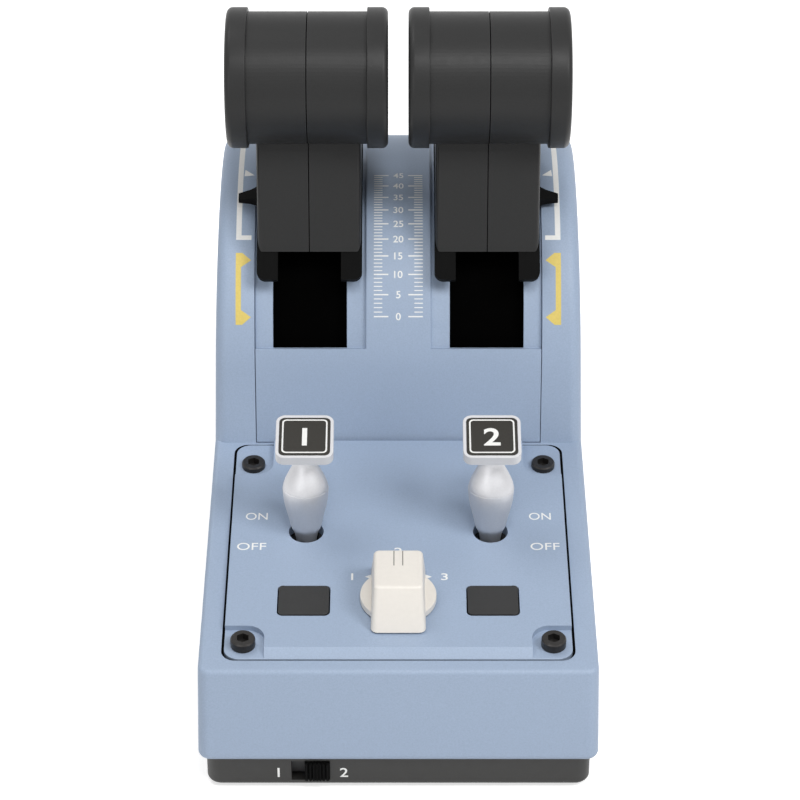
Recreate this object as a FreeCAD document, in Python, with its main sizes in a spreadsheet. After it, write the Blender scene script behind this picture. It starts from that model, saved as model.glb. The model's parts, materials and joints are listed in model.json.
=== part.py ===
"""Twin throttle quadrant for a flight simulator.

A moulded housing on a base tray carries two throttle levers on one steel axle,
two master toggles, a mode knob, two push buttons and a slide switch.
X is across the housing (right positive), Y runs to the back, Z is up, in mm.
The origin is the middle of the footprint, at the soles of the rubber feet.
"""
import FreeCAD, Part
import math
import os
import re
import Sketcher

V = FreeCAD.Vector
doc = FreeCAD.newDocument("throttle_quadrant")
dims = doc.addObject("Spreadsheet::Sheet", "Dims")

SIZES = [
    # housing
    ("cheek_width", 22.0, "lever slot to the front top corner"),
    ("side_wall", 4.5, "side wall at the front top edge"),
    ("pivot_behind", 4.6, "axle behind the foot of the arch, beyond the arch's radius"),
    ("pivot_up", 13.7, "axle above the foot of the arch"),
    ("arch_back", 41.1, "axle to the rear face"),
    ("side_draft", 1.25, "draft of the side walls, degrees"),
    ("tray_top", 13.6, "height of the joint between tray and housing"),
    ("deck_height", 50.0, "height of the front top edge"),
    ("front_lean", 3.9, "run of the front face between its lower and upper edge"),
    ("deck_depth", 124.8, "front top edge to the foot of the arch, level"),
    ("deck_slope", 3.58, "rise of the deck, degrees"),
    ("deck_thick", 4.5, "thickness of the deck"),
    ("arch_radius", 66.6, "outside of the arch about the axle"),
    ("front_wall", 4.0, "front and rear wall"),
    ("edge_round", 4.6, "rounding of the arch edges"),
    ("corner_round", 4.0, "upright corners of the housing"),
    ("lower_round", 2.8, "lower side edges of the housing"),
    ("front_round", 1.8, "front top edge"),
    # arch cover
    ("seam_gap", 0.25, "joint between the cover and the housing"),
    ("cover_thick", 2.5, "thickness of the arch cover"),
    ("cover_ledge", 2.6, "ledge of the housing under the cover"),
    ("ledge_width", 4.0, "width of that ledge"),
    ("cover_end", 121.0, "rear end of the cover, degrees round the arch"),
    ("channel_deep", 1.6, "depth of the lever channels"),
    ("channel_half", 20.1, "half width of a channel inside the cover"),
    ("channel_slope", 0.45, "bevel along the inner side of a channel"),
    ("seam_out", 19.9, "lever to the seam beside it"),
    ("channel_low", 19.2, "lower end of channel and slot, degrees"),
    ("slot_high", 112.5, "upper end of the slot, degrees"),
    ("slot_width", 26.8, "width of the lever slot"),
    # control plate
    ("plate_inset", 8.5, "plate inside the front top corner"),
    ("plate_behind", 1.4, "rear edge of the plate before the arch"),
    ("pscrew_inset", 6.4, "plate screws inside the plate's side"),
    ("pscrew_inset_rear", 12.6, "rear screws inside the plate's rear edge"),
    ("pad_wide", 13.6, "width of the corner pads"),
    ("window_inset", 15.0, "opening inside the plate's side"),
    ("plate_front", 6.5, "front edge of the plate along the deck"),
    ("plate_rise", 2.2, "plate above the deck"),
    ("plate_sink", 2.0, "plate below the deck"),
    ("plate_gap", 0.9, "gap round the plate"),
    ("plate_corner", 5.0, "corner radius of the plate"),
    ("plate_bevel", 3.6, "run of the bevelled front edge"),
    ("pad_long", 14.5, "length of the corner pads along the deck"),
    ("pad_round", 6.0, "inner corner radius of the pads"),
    ("pscrew_front", 13.3, "front plate screws along the deck"),
    ("pscrew_head", 8.5, "head diameter, M5 socket screw"),
    ("pscrew_tall", 3.6, "head height above its pad"),
    ("pscrew_shank", 5.0, "shank diameter"),
    ("pscrew_long", 9.0, "shank length"),
    ("pscrew_key", 4.0, "hexagon across flats"),
    # controls
    ("control_out", 0.4, "toggles and buttons outside the lever's middle"),
    ("toggle_s", 70.8, "toggle pivots along the deck"),
    ("toggle_low", 5.0, "toggle pivots below the deck"),
    ("toggle_hole", 12.3, "hole for the toggle stem"),
    ("toggle_tilt", 7.5, "stem leaning back at ON, degrees"),
    ("stem_collar", 8.35, "radius of the stem at its collar"),
    ("stem_neck", 3.6, "radius of the neck under the cap"),
    ("stem_root", 4.0, "radius of the stem in the plate"),
    ("stem_foot", 5.75, "radius of the stem just above the plate"),
    ("stem_swell", 6.6, "radius of the stem where it swells"),
    ("stem_waist", 7.65, "radius of the stem below its collar"),
    ("stem_shoulder", 7.4, "radius halfway up the cone above the collar"),
    ("stem_collar_at", 30.1, "upper edge of the collar above the pivot"),
    ("stem_top_at", 44.2, "top of the neck above the pivot"),
    ("stem_tail", 5.0, "tail below the pivot"),
    ("pin_dia", 1.6, "toggle pivot pin"),
    ("cap_at", 42.8, "underside of the cap above the pivot, on the stem's axis"),
    ("cap_wide", 20.1, "toggle cap, square"),
    ("cap_thick", 3.9, "toggle cap thickness"),
    ("cap_turn", 17.0, "cap face leaning to the front, degrees"),
    ("cap_corner", 3.2, "cap corner radius"),
    ("label_wide", 17.6, "label plate"),
    ("label_thick", 1.0, "label plate thickness"),
    ("label_sink", 0.7, "label plate in the cap"),
    ("button_wide", 17.4, "push button across"),
    ("button_deep", 15.0, "push button along the deck"),
    ("button_s", 34.0, "middle of the buttons along the deck"),
    ("button_gap", 0.4, "gap round a button"),
    ("button_proud", 0.3, "button above the plate"),
    ("button_round", 2.0, "button corner radius"),
    ("knob_s", 34.0, "knob axis along the deck"),
    ("knob_disc", 13.1, "radius of the knob disc"),
    ("disc_thick", 2.4, "thickness of the knob disc"),
    ("knob_gap", 0.6, "gap between knob and plate"),
    ("knob_tall", 13.9, "height of the handle over the knob's underside"),
    ("handle_top", 19.5, "length of the handle along its top"),
    ("handle_foot", 35.2, "length of the handle at its foot"),
    ("handle_wide", 18.8, "width of the handle at its foot"),
    ("handle_taper", 1.0, "narrowing of each side of the handle to its top"),
    ("shaft_dia", 6.0, "knob shaft"),
    ("shaft_long", 8.0, "knob shaft below the knob"),
    ("fit", 0.05, "radial running clearance"),
    # tray
    ("foot_inset", 13.5, "feet inside the front top corner"),
    ("foot_inset_y", 18.5, "feet inside the front and rear"),
    ("boss_inset", 10.5, "base screws inside the front top corner"),
    ("boss_inset_y", 32.5, "base screws inside the front and rear"),
    ("slide_in", 2.5, "slide switch inside the left toggle's middle"),
    ("tray_inset", 2.6, "tray inside the outline of the housing"),
    ("tray_floor", 3.0, "floor thickness"),
    ("tray_wall", 3.6, "wall thickness of the tray"),
    ("tray_corner", 5.0, "upright corners of the tray"),
    ("tray_round", 2.0, "lower edge of the tray"),
    ("foot_drop", 1.5, "rubber feet below the tray"),
    ("foot_dia", 12.0, "rubber foot"),
    ("lip_tall", 3.0, "locating lip of the tray"),
    ("lip_thick", 1.6, "thickness of the lip"),
    ("lip_gap", 0.3, "gap between lip and housing"),
    ("lip_lean", 0.9, "lip further in at the leaning front face"),
    ("boss_dia", 9.0, "screw bosses"),
    ("boss_tall", 30.0, "top of the housing bosses"),
    ("bscrew_dia", 3.0, "base screw shank"),
    ("bscrew_head", 5.6, "base screw head"),
    ("slide_open", 13.2, "width of that opening"),
    ("slide_low", 3.9, "lower edge of that opening"),
    ("slider_wide", 8.4, "slider"),
    ("slider_gap", 0.2, "slider clearance"),
    ("slider_proud", 0.9, "slider in front of the tray"),
    # lever bearing
    ("lever_gap", 3.6, "half of the gap between the two grips"),
    ("bracket_gap", 3.5, "lever arm to the outer bracket"),
    ("axle_end", 4.4, "axle beyond the outer bracket"),
    ("shield_gap", 0.6, "slot shield inside the ledges of the arch"),
    ("shield_thick", 1.6, "slot shield"),
    ("shield_wide", 28.0, "slot shield across"),
    ("shield_low", 14.0, "front end of the slot shield, degrees"),
    ("shield_high", 93.0, "rear end of the slot shield, degrees"),
    ("roller_gap", 0.5, "detent roller to the sector"),
    ("axle_dia", 8.0, "lever axle"),
    ("hub_radius", 14.0, "lever hub"),
    ("bush_wall", 1.5, "wall of the lever bush"),
    ("arm_wide", 22.0, "lever arm across"),
    ("arm_half", 9.2, "half depth of the lever arm"),
    ("arm_at", 70.5, "lever arm at rest, degrees round the arch"),
    ("tongue_wide", 8.0, "tongue of the arm inside the grip"),
    ("bracket_thick", 4.0, "outer axle brackets"),
    ("centre_thick", 6.0, "centre bracket"),
    ("bracket_foot", 30.0, "half length of the bracket foot"),
    ("bracket_head", 12.0, "radius of the bracket head"),
    ("sector_in", 33.6, "inner radius of the detent sector"),
    ("sector_out", 40.0, "outer radius of the detent sector"),
    ("sector_thick", 2.4, "detent sector"),
    ("roller_dia", 5.0, "detent roller"),
    ("tail_thick", 5.0, "detent tail of the arm"),
    # grip
    ("body_clear", 7.4, "grip body above the arch"),
    ("skirt_clear", 2.6, "slot skirt above the arch"),
    ("barrel_front", 33.0, "barrel axis in front of the axle"),
    ("barrel_up", 42.9, "barrel axis above the grip body's lower edge"),
    ("tongue_long", 20.0, "tongue beyond the grip body's lower edge"),
    ("barrel_radius", 23.4, "grip barrel"),
    ("barrel_half", 21.1, "half length of the barrel between its end caps"),
    ("rim_radius", 24.9, "end caps of the barrel"),
    ("rim_wide", 7.4, "end cap width"),
    ("rim_round", 2.2, "rounding of the end caps"),
    ("seam_line", 0.15, "half of the joint between the grip halves"),
    ("body_half", 18.7, "half width of the grip body"),
    ("body_front", 48.0, "front lower corner of the grip body, degrees"),
    ("body_back", 87.5, "rear lower corner of the grip body, degrees"),
    ("body_lean", 8.0, "run of the front face of the grip body"),
    ("body_rise", 36.8, "height of that face"),
    ("body_round", 1.6, "upright edges of the grip body"),
    ("skirt_half", 19.0, "half width of the slot skirt"),
    ("skirt_front", 40.0, "front end of the skirt, degrees"),
    ("skirt_back", 93.0, "rear end of the skirt, degrees"),
    ("skirt_round", 3.0, "corners of the skirt"),
    ("nub_long", 7.2, "pointer beyond the skirt"),
    ("nub_at", 67.0, "pointer, degrees round the arch"),
    ("nub_root", 3.3, "half width of the pointer at the skirt, degrees"),
    ("nub_flare", 2.15, "half width above its flare, degrees"),
    ("nub_waist", 1.62, "half width of its waist, degrees"),
    ("flare_share", 0.18, "share of the pointer's length up to the flare"),
    ("waist_share", 0.42, "share of its length up to the waist"),
    ("nub_tip", 1.15, "half spread of the pointer at its tip, degrees"),
    ("nub_thin", 2.0, "thickness of the pointer at its tip"),
    ("push_dia", 14.0, "disconnect button"),
    ("push_gap", 0.3, "clearance of the disconnect button"),
    ("push_deep", 5.0, "pocket of the disconnect button"),
    ("push_long", 2.9, "disconnect button height"),
    # reverser
    ("rev_front", 12.9, "reverser pin in front of the axle"),
    ("rev_up", 11.5, "reverser pin above the grip body's lower edge"),
    ("bar_back", 27.5, "finger bar behind the pin"),
    ("bar_up", 23.0, "finger bar above the pin"),
    ("rev_slot_deep", 20.0, "reverser slot behind the pin"),
    ("rev_slot_tall", 30.0, "reverser slot above the pin"),
    ("rev_root", 4.5, "root radius of the reverser"),
    ("rev_pin", 3.0, "reverser pin diameter"),
    ("rev_wide", 12.0, "reverser blade across"),
    ("rev_bar", 9.0, "finger bar diameter"),
    ("rev_bar_wide", 30.0, "finger bar across"),
    ("rev_gap", 0.4, "clearance of the reverser in the grip"),
    # boards
    ("board_thick", 1.6, "circuit boards"),
    ("board_post_front", 20.0, "front posts along the deck"),
    ("board_post_rear", 80.0, "rear posts along the deck"),
    ("board_post_dia", 5.0, "posts of the panel board"),
    ("small_screw", 2.0, "board screw shank"),
    ("panel_board_low", 14.6, "underside of the panel board below the deck"),
    ("main_board_z", 17.0, "underside of the main board"),
    ("main_board_long", 68.0, "main board, front to rear"),
    ("main_board_in", 5.0, "inner edge of the main board from the middle"),
    ("main_board_out", 45.0, "outer edge of the main board from the middle"),
]
DERIVED = [
    ("lever_x", "lever_gap + rim_wide + barrel_half"),
    ("body_width", "2 * (lever_x + slot_width / 2 + cheek_width)"),
    ("cavity_half", "body_width / 2 - side_wall"),
    ("half_length", "(front_lean + deck_depth + arch_radius + pivot_behind + arch_back) / 2"),
    ("front_y", "-half_length + front_lean"),
    ("foot_y", "front_y + deck_depth"),
    ("foot_z", "deck_height + deck_depth * tan(deck_slope)"),
    ("pivot_y", "foot_y + arch_radius + pivot_behind"),
    ("pivot_z", "foot_z + pivot_up"),
    ("pivot_reach", "sqrt((pivot_y - foot_y)^2 + (pivot_z - foot_z)^2)"),
    ("wall_long", "sqrt(pivot_reach^2 - arch_radius^2)"),
    ("wall_turn", "atan((pivot_z - foot_z) / (pivot_y - foot_y)) + asin(arch_radius / pivot_reach)"),
    ("arch_wall", "cover_thick + cover_ledge + 0.1"),
    ("seam_half", "lever_x + seam_out"),
    ("channel_inner", "lever_x - channel_half"),
    ("plate_half", "body_width / 2 - plate_inset"),
    ("plate_rear", "deck_depth / cos(deck_slope) - plate_behind"),
    ("pscrew_x", "plate_half - pscrew_inset"),
    ("pscrew_rear", "plate_rear - pscrew_inset_rear"),
    ("pad_inner", "plate_half - pad_wide"),
    ("window_half", "plate_half - window_inset"),
    ("control_x", "lever_x + control_out"),
    ("board_post_x", "control_x - button_wide / 2 - 2.8"),
    ("slide_x", "slide_in - control_x"),
    ("foot_x", "body_width / 2 - foot_inset"),
    ("foot_y_at", "half_length - foot_inset_y"),
    ("boss_x", "body_width / 2 - boss_inset"),
    ("boss_y", "half_length - boss_inset_y"),
    ("body_low", "arch_radius + body_clear"),
    ("skirt_low", "arch_radius + skirt_clear"),
    ("barrel_y", "pivot_y - barrel_front"),
    ("barrel_z", "pivot_z + body_low + barrel_up"),
    ("rev_y", "pivot_y - rev_front"),
    ("rev_z", "pivot_z + body_low + rev_up"),
    ("rev_bar_y", "rev_y + bar_back"),
    ("rev_bar_z", "rev_z + bar_up"),
    ("arm_neck", "body_low - 1"),
    ("tongue_end", "body_low + tongue_long"),
    ("shield_out", "arch_radius - arch_wall - shield_gap"),
    ("roller_at", "sector_in - roller_gap - roller_dia / 2"),
    ("main_board_rear", "half_length - front_wall - 0.5"),
    ("tray_half_x", "body_width / 2 + (deck_height - tray_top) * tan(side_draft) - tray_inset"),
    ("tray_half_y", "half_length - tray_inset"),
    ("tray_bottom", "foot_drop"),
    ("floor_z", "foot_drop + tray_floor"),
    ("arm_inner", "lever_x - arm_wide / 2"),
    ("arm_outer", "lever_x + arm_wide / 2"),
    ("bracket_at", "arm_outer + bracket_gap"),
    ("axle_half", "bracket_at + bracket_thick + axle_end"),
]

NAMES = [n for n, _, _ in SIZES] + [n for n, _ in DERIVED]
WORD = re.compile(r"(?<![\w.])(" + "|".join(sorted(NAMES, key=len, reverse=True)) + r")(?!\w)")


def E(text):
    """The expression with every size read from the sheet."""
    return WORD.sub(r"Dims.\1", str(text))


row = 1
for name, value, note in SIZES:
    dims.set(f"A{row}", name)
    dims.set(f"B{row}", str(value))
    dims.set(f"C{row}", note)
    dims.setAlias(f"B{row}", name)
    row += 1
for name, formula in DERIVED:
    dims.set(f"A{row}", name)
    dims.set(f"B{row}", "=" + formula)
    dims.setAlias(f"B{row}", name)
    row += 1
doc.recompute()


def val(text):
    """The number that an expression gives."""
    got = dims.evalExpression(E(text))
    return float(getattr(got, "Value", got))


# ---- sketches and features -------------------------------------------------

def new_body(name):
    return doc.addObject("PartDesign::Body", name)


def origin_plane(body, role):
    return [f for f in body.Origin.OriginFeatures if f.Role == role][0]


def sketch(body, name, role="YZ_Plane", lift="0"):
    """A sketch on one of the body's own planes, lifted along its normal."""
    s = body.newObject("Sketcher::SketchObject", name)
    s.AttachmentSupport = [(origin_plane(body, role), "")]
    s.MapMode = "FlatFace"
    s.AttachmentOffset = FreeCAD.Placement(V(0, 0, val(lift)), FreeCAD.Rotation())
    s.setExpression("AttachmentOffset.Base.z", E(lift))
    return s


def deck_sketch(body, name, high="0"):
    """A sketch parallel to the deck: x across, y along the deck from its front edge."""
    s = body.newObject("Sketcher::SketchObject", name)
    s.AttachmentSupport = [(origin_plane(body, "XY_Plane"), "")]
    s.MapMode = "FlatFace"
    s.AttachmentOffset = FreeCAD.Placement(V(0, 0, 0), FreeCAD.Rotation(V(1, 0, 0), 5))
    s.setExpression("AttachmentOffset.Base.y", E(f"front_y - ({high}) * sin(deck_slope)"))
    s.setExpression("AttachmentOffset.Base.z", E(f"deck_height + ({high}) * cos(deck_slope)"))
    s.setExpression("AttachmentOffset.Rotation.Angle", E("deck_slope"))
    return s


def bind(s, constraint, expression):
    i = s.addConstraint(constraint)
    s.setExpression(f"Constraints[{i}]", E(expression))


def outline(s, points, arcs=None):
    """A closed profile. arcs maps an edge's number to (radius, centre x, centre y, 'ccw' or 'cw')."""
    arcs = arcs or {}
    at = [V(val(x), val(y), 0) for x, y in points]
    n = len(points)
    edges = []
    for i in range(n):
        a, b = at[i], at[(i + 1) % n]
        if i in arcs:
            radius, cx, cy, way = arcs[i]
            c = V(val(cx), val(cy), 0)
            circle = Part.Circle(c, V(0, 0, 1), val(radius))
            ends = (a, b) if way == "ccw" else (b, a)
            t0, t1 = (math.atan2(p.y - c.y, p.x - c.x) for p in ends)
            if t1 <= t0:
                t1 += 2 * math.pi
            g = s.addGeometry(Part.ArcOfCircle(circle, t0, t1))
            edges.append((g, 1, 2) if way == "ccw" else (g, 2, 1))
        else:
            g = s.addGeometry(Part.LineSegment(a, b))
            edges.append((g, 1, 2))
    for i in range(n):
        g, _, end = edges[i]
        h, start, _ = edges[(i + 1) % n]
        s.addConstraint(Sketcher.Constraint("Coincident", g, end, h, start))
    for i, (ex, ey) in enumerate(points):
        g, start, _ = edges[i]
        bind(s, Sketcher.Constraint("DistanceX", -1, 1, g, start, at[i].x), ex)
        bind(s, Sketcher.Constraint("DistanceY", -1, 1, g, start, at[i].y), ey)
    for i, (radius, _, _, _) in arcs.items():
        bind(s, Sketcher.Constraint("Radius", edges[i][0], val(radius)), radius)


def disc(s, x, y, radius):
    g = s.addGeometry(Part.Circle(V(val(x), val(y), 0), V(0, 0, 1), val(radius)))
    bind(s, Sketcher.Constraint("DistanceX", -1, 1, g, 3, val(x)), x)
    bind(s, Sketcher.Constraint("DistanceY", -1, 1, g, 3, val(y)), y)
    bind(s, Sketcher.Constraint("Radius", g, val(radius)), radius)


def rectangle(s, x0, y0, x1, y1, radius=None):
    """An upright rectangle, with its corners rounded where a radius is given."""
    if radius is None:
        outline(s, [(x0, y0), (x1, y0), (x1, y1), (x0, y1)])
        return
    r = radius
    pts = [(f"{x0} + {r}", y0), (f"{x1} - {r}", y0), (x1, f"{y0} + {r}"), (x1, f"{y1} - {r}"),
           (f"{x1} - {r}", y1), (f"{x0} + {r}", y1), (x0, f"{y1} - {r}"), (x0, f"{y0} + {r}")]
    arcs = {1: (r, f"{x1} - {r}", f"{y0} + {r}", "ccw"), 3: (r, f"{x1} - {r}", f"{y1} - {r}", "ccw"),
            5: (r, f"{x0} + {r}", f"{y1} - {r}", "ccw"), 7: (r, f"{x0} + {r}", f"{y0} + {r}", "ccw")}
    outline(s, pts, arcs)


def extrude(body, kind, s, name, length, way="one", flip=False):
    f = body.newObject("PartDesign::" + kind, name)
    f.Profile = s
    f.SideType = {"one": "One side", "both": "Symmetric"}[way]
    f.Reversed = flip
    if length == "all":
        f.Type = "ThroughAll"
    else:
        f.Length = val(length)
        f.setExpression("Length", E(length))
    s.Visibility = False
    doc.recompute()
    return f


def pad(body, s, name, length, way="one", flip=False):
    return extrude(body, "Pad", s, name, length, way, flip)


def pocket(body, s, name, length, way="one", flip=False):
    return extrude(body, "Pocket", s, name, length, way, flip)


def soften(body, name, radius, wanted, kind="Fillet"):
    """Rounds or bevels the edges of the body's tip that the test picks."""
    doc.recompute()
    tip = body.Tip
    names = [f"Edge{i}" for i, e in enumerate(tip.Shape.Edges, 1) if wanted(e)]
    if not names:
        raise RuntimeError(f"{name}: no edge to round")
    f = body.newObject("PartDesign::" + kind, name)
    f.Base = (tip, names)
    prop = "Radius" if kind == "Fillet" else "Size"
    setattr(f, prop, val(radius))
    f.setExpression(prop, E(radius))
    doc.recompute()
    return f


def spin(body, s, name, cut=False, axis="V_Axis"):
    f = body.newObject("PartDesign::" + ("Groove" if cut else "Revolution"), name)
    f.Profile = s
    f.ReferenceAxis = (s, [axis])
    f.Angle = 360
    s.Visibility = False
    doc.recompute()
    return f


def near(a, b, tol=0.05):
    return abs(a - b) < tol


def middle(edge):
    return edge.valueAt((edge.FirstParameter + edge.LastParameter) / 2)


def place(obj, x="0", y="0", z="0", turn=None):
    """Puts a solid at x, y, z, turned about X by an expression in degrees."""
    obj.Placement = FreeCAD.Placement(V(0, 0, 0), FreeCAD.Rotation(V(1, 0, 0), 5 if turn else 0))
    for axis, text in (("x", x), ("y", y), ("z", z)):
        obj.setExpression(f"Placement.Base.{axis}", E(text))
    if turn:
        obj.setExpression("Placement.Rotation.Angle", E(turn))


def box(name, wide, deep, tall, x="0", y="0", z="0", turn=None):
    b = doc.addObject("Part::Box", name)
    for prop, text in (("Length", wide), ("Width", deep), ("Height", tall)):
        b.setExpression(prop, E(text))
    place(b, x, y, z, turn)
    return b


def deck_box(name, wide, deep, tall, x, s, high):
    """A box on the deck: x across, s along it, high above it, to the box's low corner."""
    return box(name, wide, deep, tall, x,
               f"front_y + ({s}) * cos(deck_slope) - ({high}) * sin(deck_slope)",
               f"deck_height + ({s}) * sin(deck_slope) + ({high}) * cos(deck_slope)", "deck_slope")


def deck_rod(name, radius, tall, x, s, high):
    c = doc.addObject("Part::Cylinder", name)
    c.setExpression("Radius", E(radius))
    c.setExpression("Height", E(tall))
    place(c, x, f"front_y + ({s}) * cos(deck_slope) - ({high}) * sin(deck_slope)",
          f"deck_height + ({s}) * sin(deck_slope) + ({high}) * cos(deck_slope)", "deck_slope")
    return c


def rod(name, radius, tall, x, y, z):
    """An upright cylinder."""
    c = doc.addObject("Part::Cylinder", name)
    c.setExpression("Radius", E(radius))
    c.setExpression("Height", E(tall))
    place(c, x, y, z)
    return c


def cross_rod(name, radius, long, x, y="pivot_y", z="pivot_z"):
    """A cylinder along X that starts at x."""
    c = doc.addObject("Part::Cylinder", name)
    c.setExpression("Radius", E(radius))
    c.setExpression("Height", E(long))
    c.Placement = FreeCAD.Placement(V(0, 0, 0), FreeCAD.Rotation(V(0, 1, 0), 90))
    for axis, text in (("x", x), ("y", y), ("z", z)):
        c.setExpression(f"Placement.Base.{axis}", E(text))
    return c


def cut(name, base, *tools):
    for i, tool in enumerate(tools):
        c = doc.addObject("Part::Cut", name if i == len(tools) - 1 else f"{name}_step{i}")
        c.Base, c.Tool = base, tool
        base = c
    return base


def fuse(name, *parts):
    f = doc.addObject("Part::MultiFuse", name)
    f.Shapes = list(parts)
    f.Refine = True
    return f


def group(name, *parts):
    """Like pieces that share one node."""
    c = doc.addObject("Part::Compound", name)
    c.Links = list(parts)
    return c


def mirror(name, source):
    m = doc.addObject("Part::Mirroring", name)
    m.Source = source
    m.Normal = V(1, 0, 0)
    m.Base = V(0, 0, 0)
    return m


nodes = {}


def keep(name, obj):
    obj.Label = name
    nodes[name] = obj
    return obj


# ---- points round the arch -------------------------------------------------

def ring(radius, degrees):
    """A point at a radius from the lever axle, its angle counted up from the front."""
    return (f"pivot_y - ({radius}) * cos({degrees})", f"pivot_z + ({radius}) * sin({degrees})")


def on_wall(along, out="0"):
    """A point of the straight lower part of the arch, from its foot."""
    return (f"foot_y + ({along}) * cos(wall_turn) - ({out}) * sin(wall_turn)",
            f"foot_z + ({along}) * sin(wall_turn) + ({out}) * cos(wall_turn)")


def band(s, start, out, deep, end):
    """The arch's side outline between two depths, from a height on its wall to an angle."""
    outline(s, [on_wall(start, out), on_wall("wall_long", out), ring(f"arch_radius + {out}", end),
                ring(f"arch_radius - ({deep})", end), on_wall("wall_long", f"-({deep})"),
                on_wall(start, f"-({deep})")],
            {1: (f"arch_radius + {out}", "pivot_y", "pivot_z", "cw"),
             3: (f"arch_radius - ({deep})", "pivot_y", "pivot_z", "ccw")})


def sector(s, inner, outer, start, end):
    outline(s, [ring(inner, start), ring(outer, start), ring(outer, end), ring(inner, end)],
            {1: (outer, "pivot_y", "pivot_z", "cw"), 3: (inner, "pivot_y", "pivot_z", "ccw")})


# ---- housing ---------------------------------------------------------------

housing = new_body("housing_shell")
s = sketch(housing, "housing_side")
outline(s, [("-half_length", "tray_top"), ("front_y", "deck_height"), ("foot_y", "foot_z"),
            on_wall("wall_long"),
            ("half_length", "pivot_z + sqrt(arch_radius^2 - (half_length - pivot_y)^2)"),
            ("half_length", "tray_top")],
        {3: ("arch_radius", "pivot_y", "pivot_z", "cw")})
pad(housing, s, "housing_block", "body_width + 8", "both")
s = sketch(housing, "housing_sides", "XZ_Plane")
low, high = "(tray_top - 2)", "(pivot_z + arch_radius + 4)"
half_low = f"(body_width / 2 + (deck_height - {low}) * tan(side_draft))"
half_high = f"(body_width / 2 + (deck_height - {high}) * tan(side_draft))"
outline(s, [("-body_width", low), ("body_width", low), ("body_width", high), ("-body_width", high)])
outline(s, [(f"-{half_low}", low + " + 1"), (half_low, low + " + 1"),
            (half_high, high + " - 1"), (f"-{half_high}", high + " - 1")])
pocket(housing, s, "side_draft_cut", "all", "both")


def is_side(e):
    m = middle(e)
    half = val("body_width") / 2 + (val("deck_height") - m.z) * math.tan(math.radians(val("side_draft")))
    return near(abs(m.x), half, 0.3)


soften(housing, "upright_corners", "corner_round",
       lambda e: is_side(e) and near(abs(middle(e).y), val("half_length"), val("front_lean") + 0.3)
       and abs(e.tangentAt(e.FirstParameter).z) > 0.9)
soften(housing, "arch_edges", "edge_round",
       lambda e: is_side(e) and middle(e).z > val("foot_z") + 3
       and middle(e).y < val("half_length") - 1 and abs(e.tangentAt(e.FirstParameter).x) < 0.2
       and math.hypot(middle(e).y - val("pivot_y"), middle(e).z - val("pivot_z")) > val("arch_radius") - 1)
soften(housing, "front_top_edge", "front_round",
       lambda e: near(middle(e).y, val("front_y"), 0.6) and near(middle(e).z, val("deck_height"), 0.6)
       and abs(e.tangentAt(e.FirstParameter).x) > 0.9)
soften(housing, "lower_side_edges", "lower_round",
       lambda e: near(middle(e).z, val("tray_top"), 0.1) and abs(middle(e).x) > val("cavity_half")
       and abs(e.tangentAt(e.FirstParameter).y) > 0.9)
s = sketch(housing, "housing_inside")
c_z = "(foot_z - deck_thick)"
outline(s, [("-half_length + front_wall", "tray_top - 3"),
            ("front_y + front_wall", "deck_height + front_wall * tan(deck_slope) - deck_thick"),
            (f"pivot_y - (arch_radius - arch_wall) * sin(wall_turn) - (pivot_z + (arch_radius - arch_wall) * cos(wall_turn) - {c_z}) / tan(wall_turn)", c_z),
            on_wall("wall_long", "-arch_wall"),
            ("half_length - front_wall", "pivot_z + sqrt((arch_radius - arch_wall)^2 - (half_length - front_wall - pivot_y)^2)"),
            ("half_length - front_wall", "tray_top - 3")],
        {3: ("arch_radius - arch_wall", "pivot_y", "pivot_z", "cw")})
pocket(housing, s, "housing_hollow", "2 * cavity_half", "both")
s = sketch(housing, "cover_seat")
band(s, "0", "1", "cover_thick + 0.1", "cover_end + 0.3")
pocket(housing, s, "cover_recess", "2 * (seam_half + seam_gap)", "both")
s = sketch(housing, "cover_window_side")
band(s, "ledge_width", "1", "arch_wall + 2", "cover_end - 3.5")
pocket(housing, s, "cover_window", "2 * (seam_half - ledge_width)", "both")
s = deck_sketch(housing, "plate_seat")
rectangle(s, "-(plate_half + plate_gap)", "plate_front - plate_gap", "plate_half + plate_gap",
          "plate_rear + 0.3", "plate_corner")
pocket(housing, s, "plate_recess", "plate_sink + 0.05")
s = deck_sketch(housing, "panel_opening")
rectangle(s, "-window_half", "plate_front + 5", "window_half", "plate_rear - 20", "plate_corner")
pocket(housing, s, "panel_window", "deck_thick + 8")
s = deck_sketch(housing, "plate_screw_holes")
for side in ("-pscrew_x", "pscrew_x"):
    for along in ("pscrew_front", "pscrew_rear"):
        disc(s, side, along, "pscrew_shank / 2 + fit")
pocket(housing, s, "plate_threads", "pscrew_long + 2")
s = sketch(housing, "usb_opening", "XZ_Plane", "-half_length + front_wall + 1")
rectangle(s, "-30.2", "main_board_z + board_thick - 0.4", "-19.8", "main_board_z + board_thick + 3.8")
pocket(housing, s, "usb_cut", "front_wall + 4", flip=False)
s = sketch(housing, "boss_plan", "XY_Plane", "boss_tall")
for x in ("-boss_x", "boss_x"):
    for y in ("-boss_y", "0", "boss_y"):
        disc(s, x, y, "boss_dia / 2")
pad(housing, s, "base_bosses", "boss_tall - tray_top - lip_tall - lip_gap", flip=True)
s = sketch(housing, "boss_web_plan", "XY_Plane", "boss_tall")
for a, b in (("-(cavity_half + 1)", "-boss_x"), ("boss_x", "cavity_half + 1")):
    for y in ("-boss_y", "0", "boss_y"):
        rectangle(s, a, f"{y} - 1.5", b, f"{y} + 1.5")
pad(housing, s, "boss_webs", "boss_tall - tray_top - lip_tall - lip_gap", flip=True)
s = sketch(housing, "boss_hole_plan", "XY_Plane", "boss_tall - 2")
for x in ("-boss_x", "boss_x"):
    for y in ("-boss_y", "0", "boss_y"):
        disc(s, x, y, "bscrew_dia / 2 + fit")
pocket(housing, s, "boss_holes", "boss_tall")
keep("housing_shell", housing)

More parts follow.
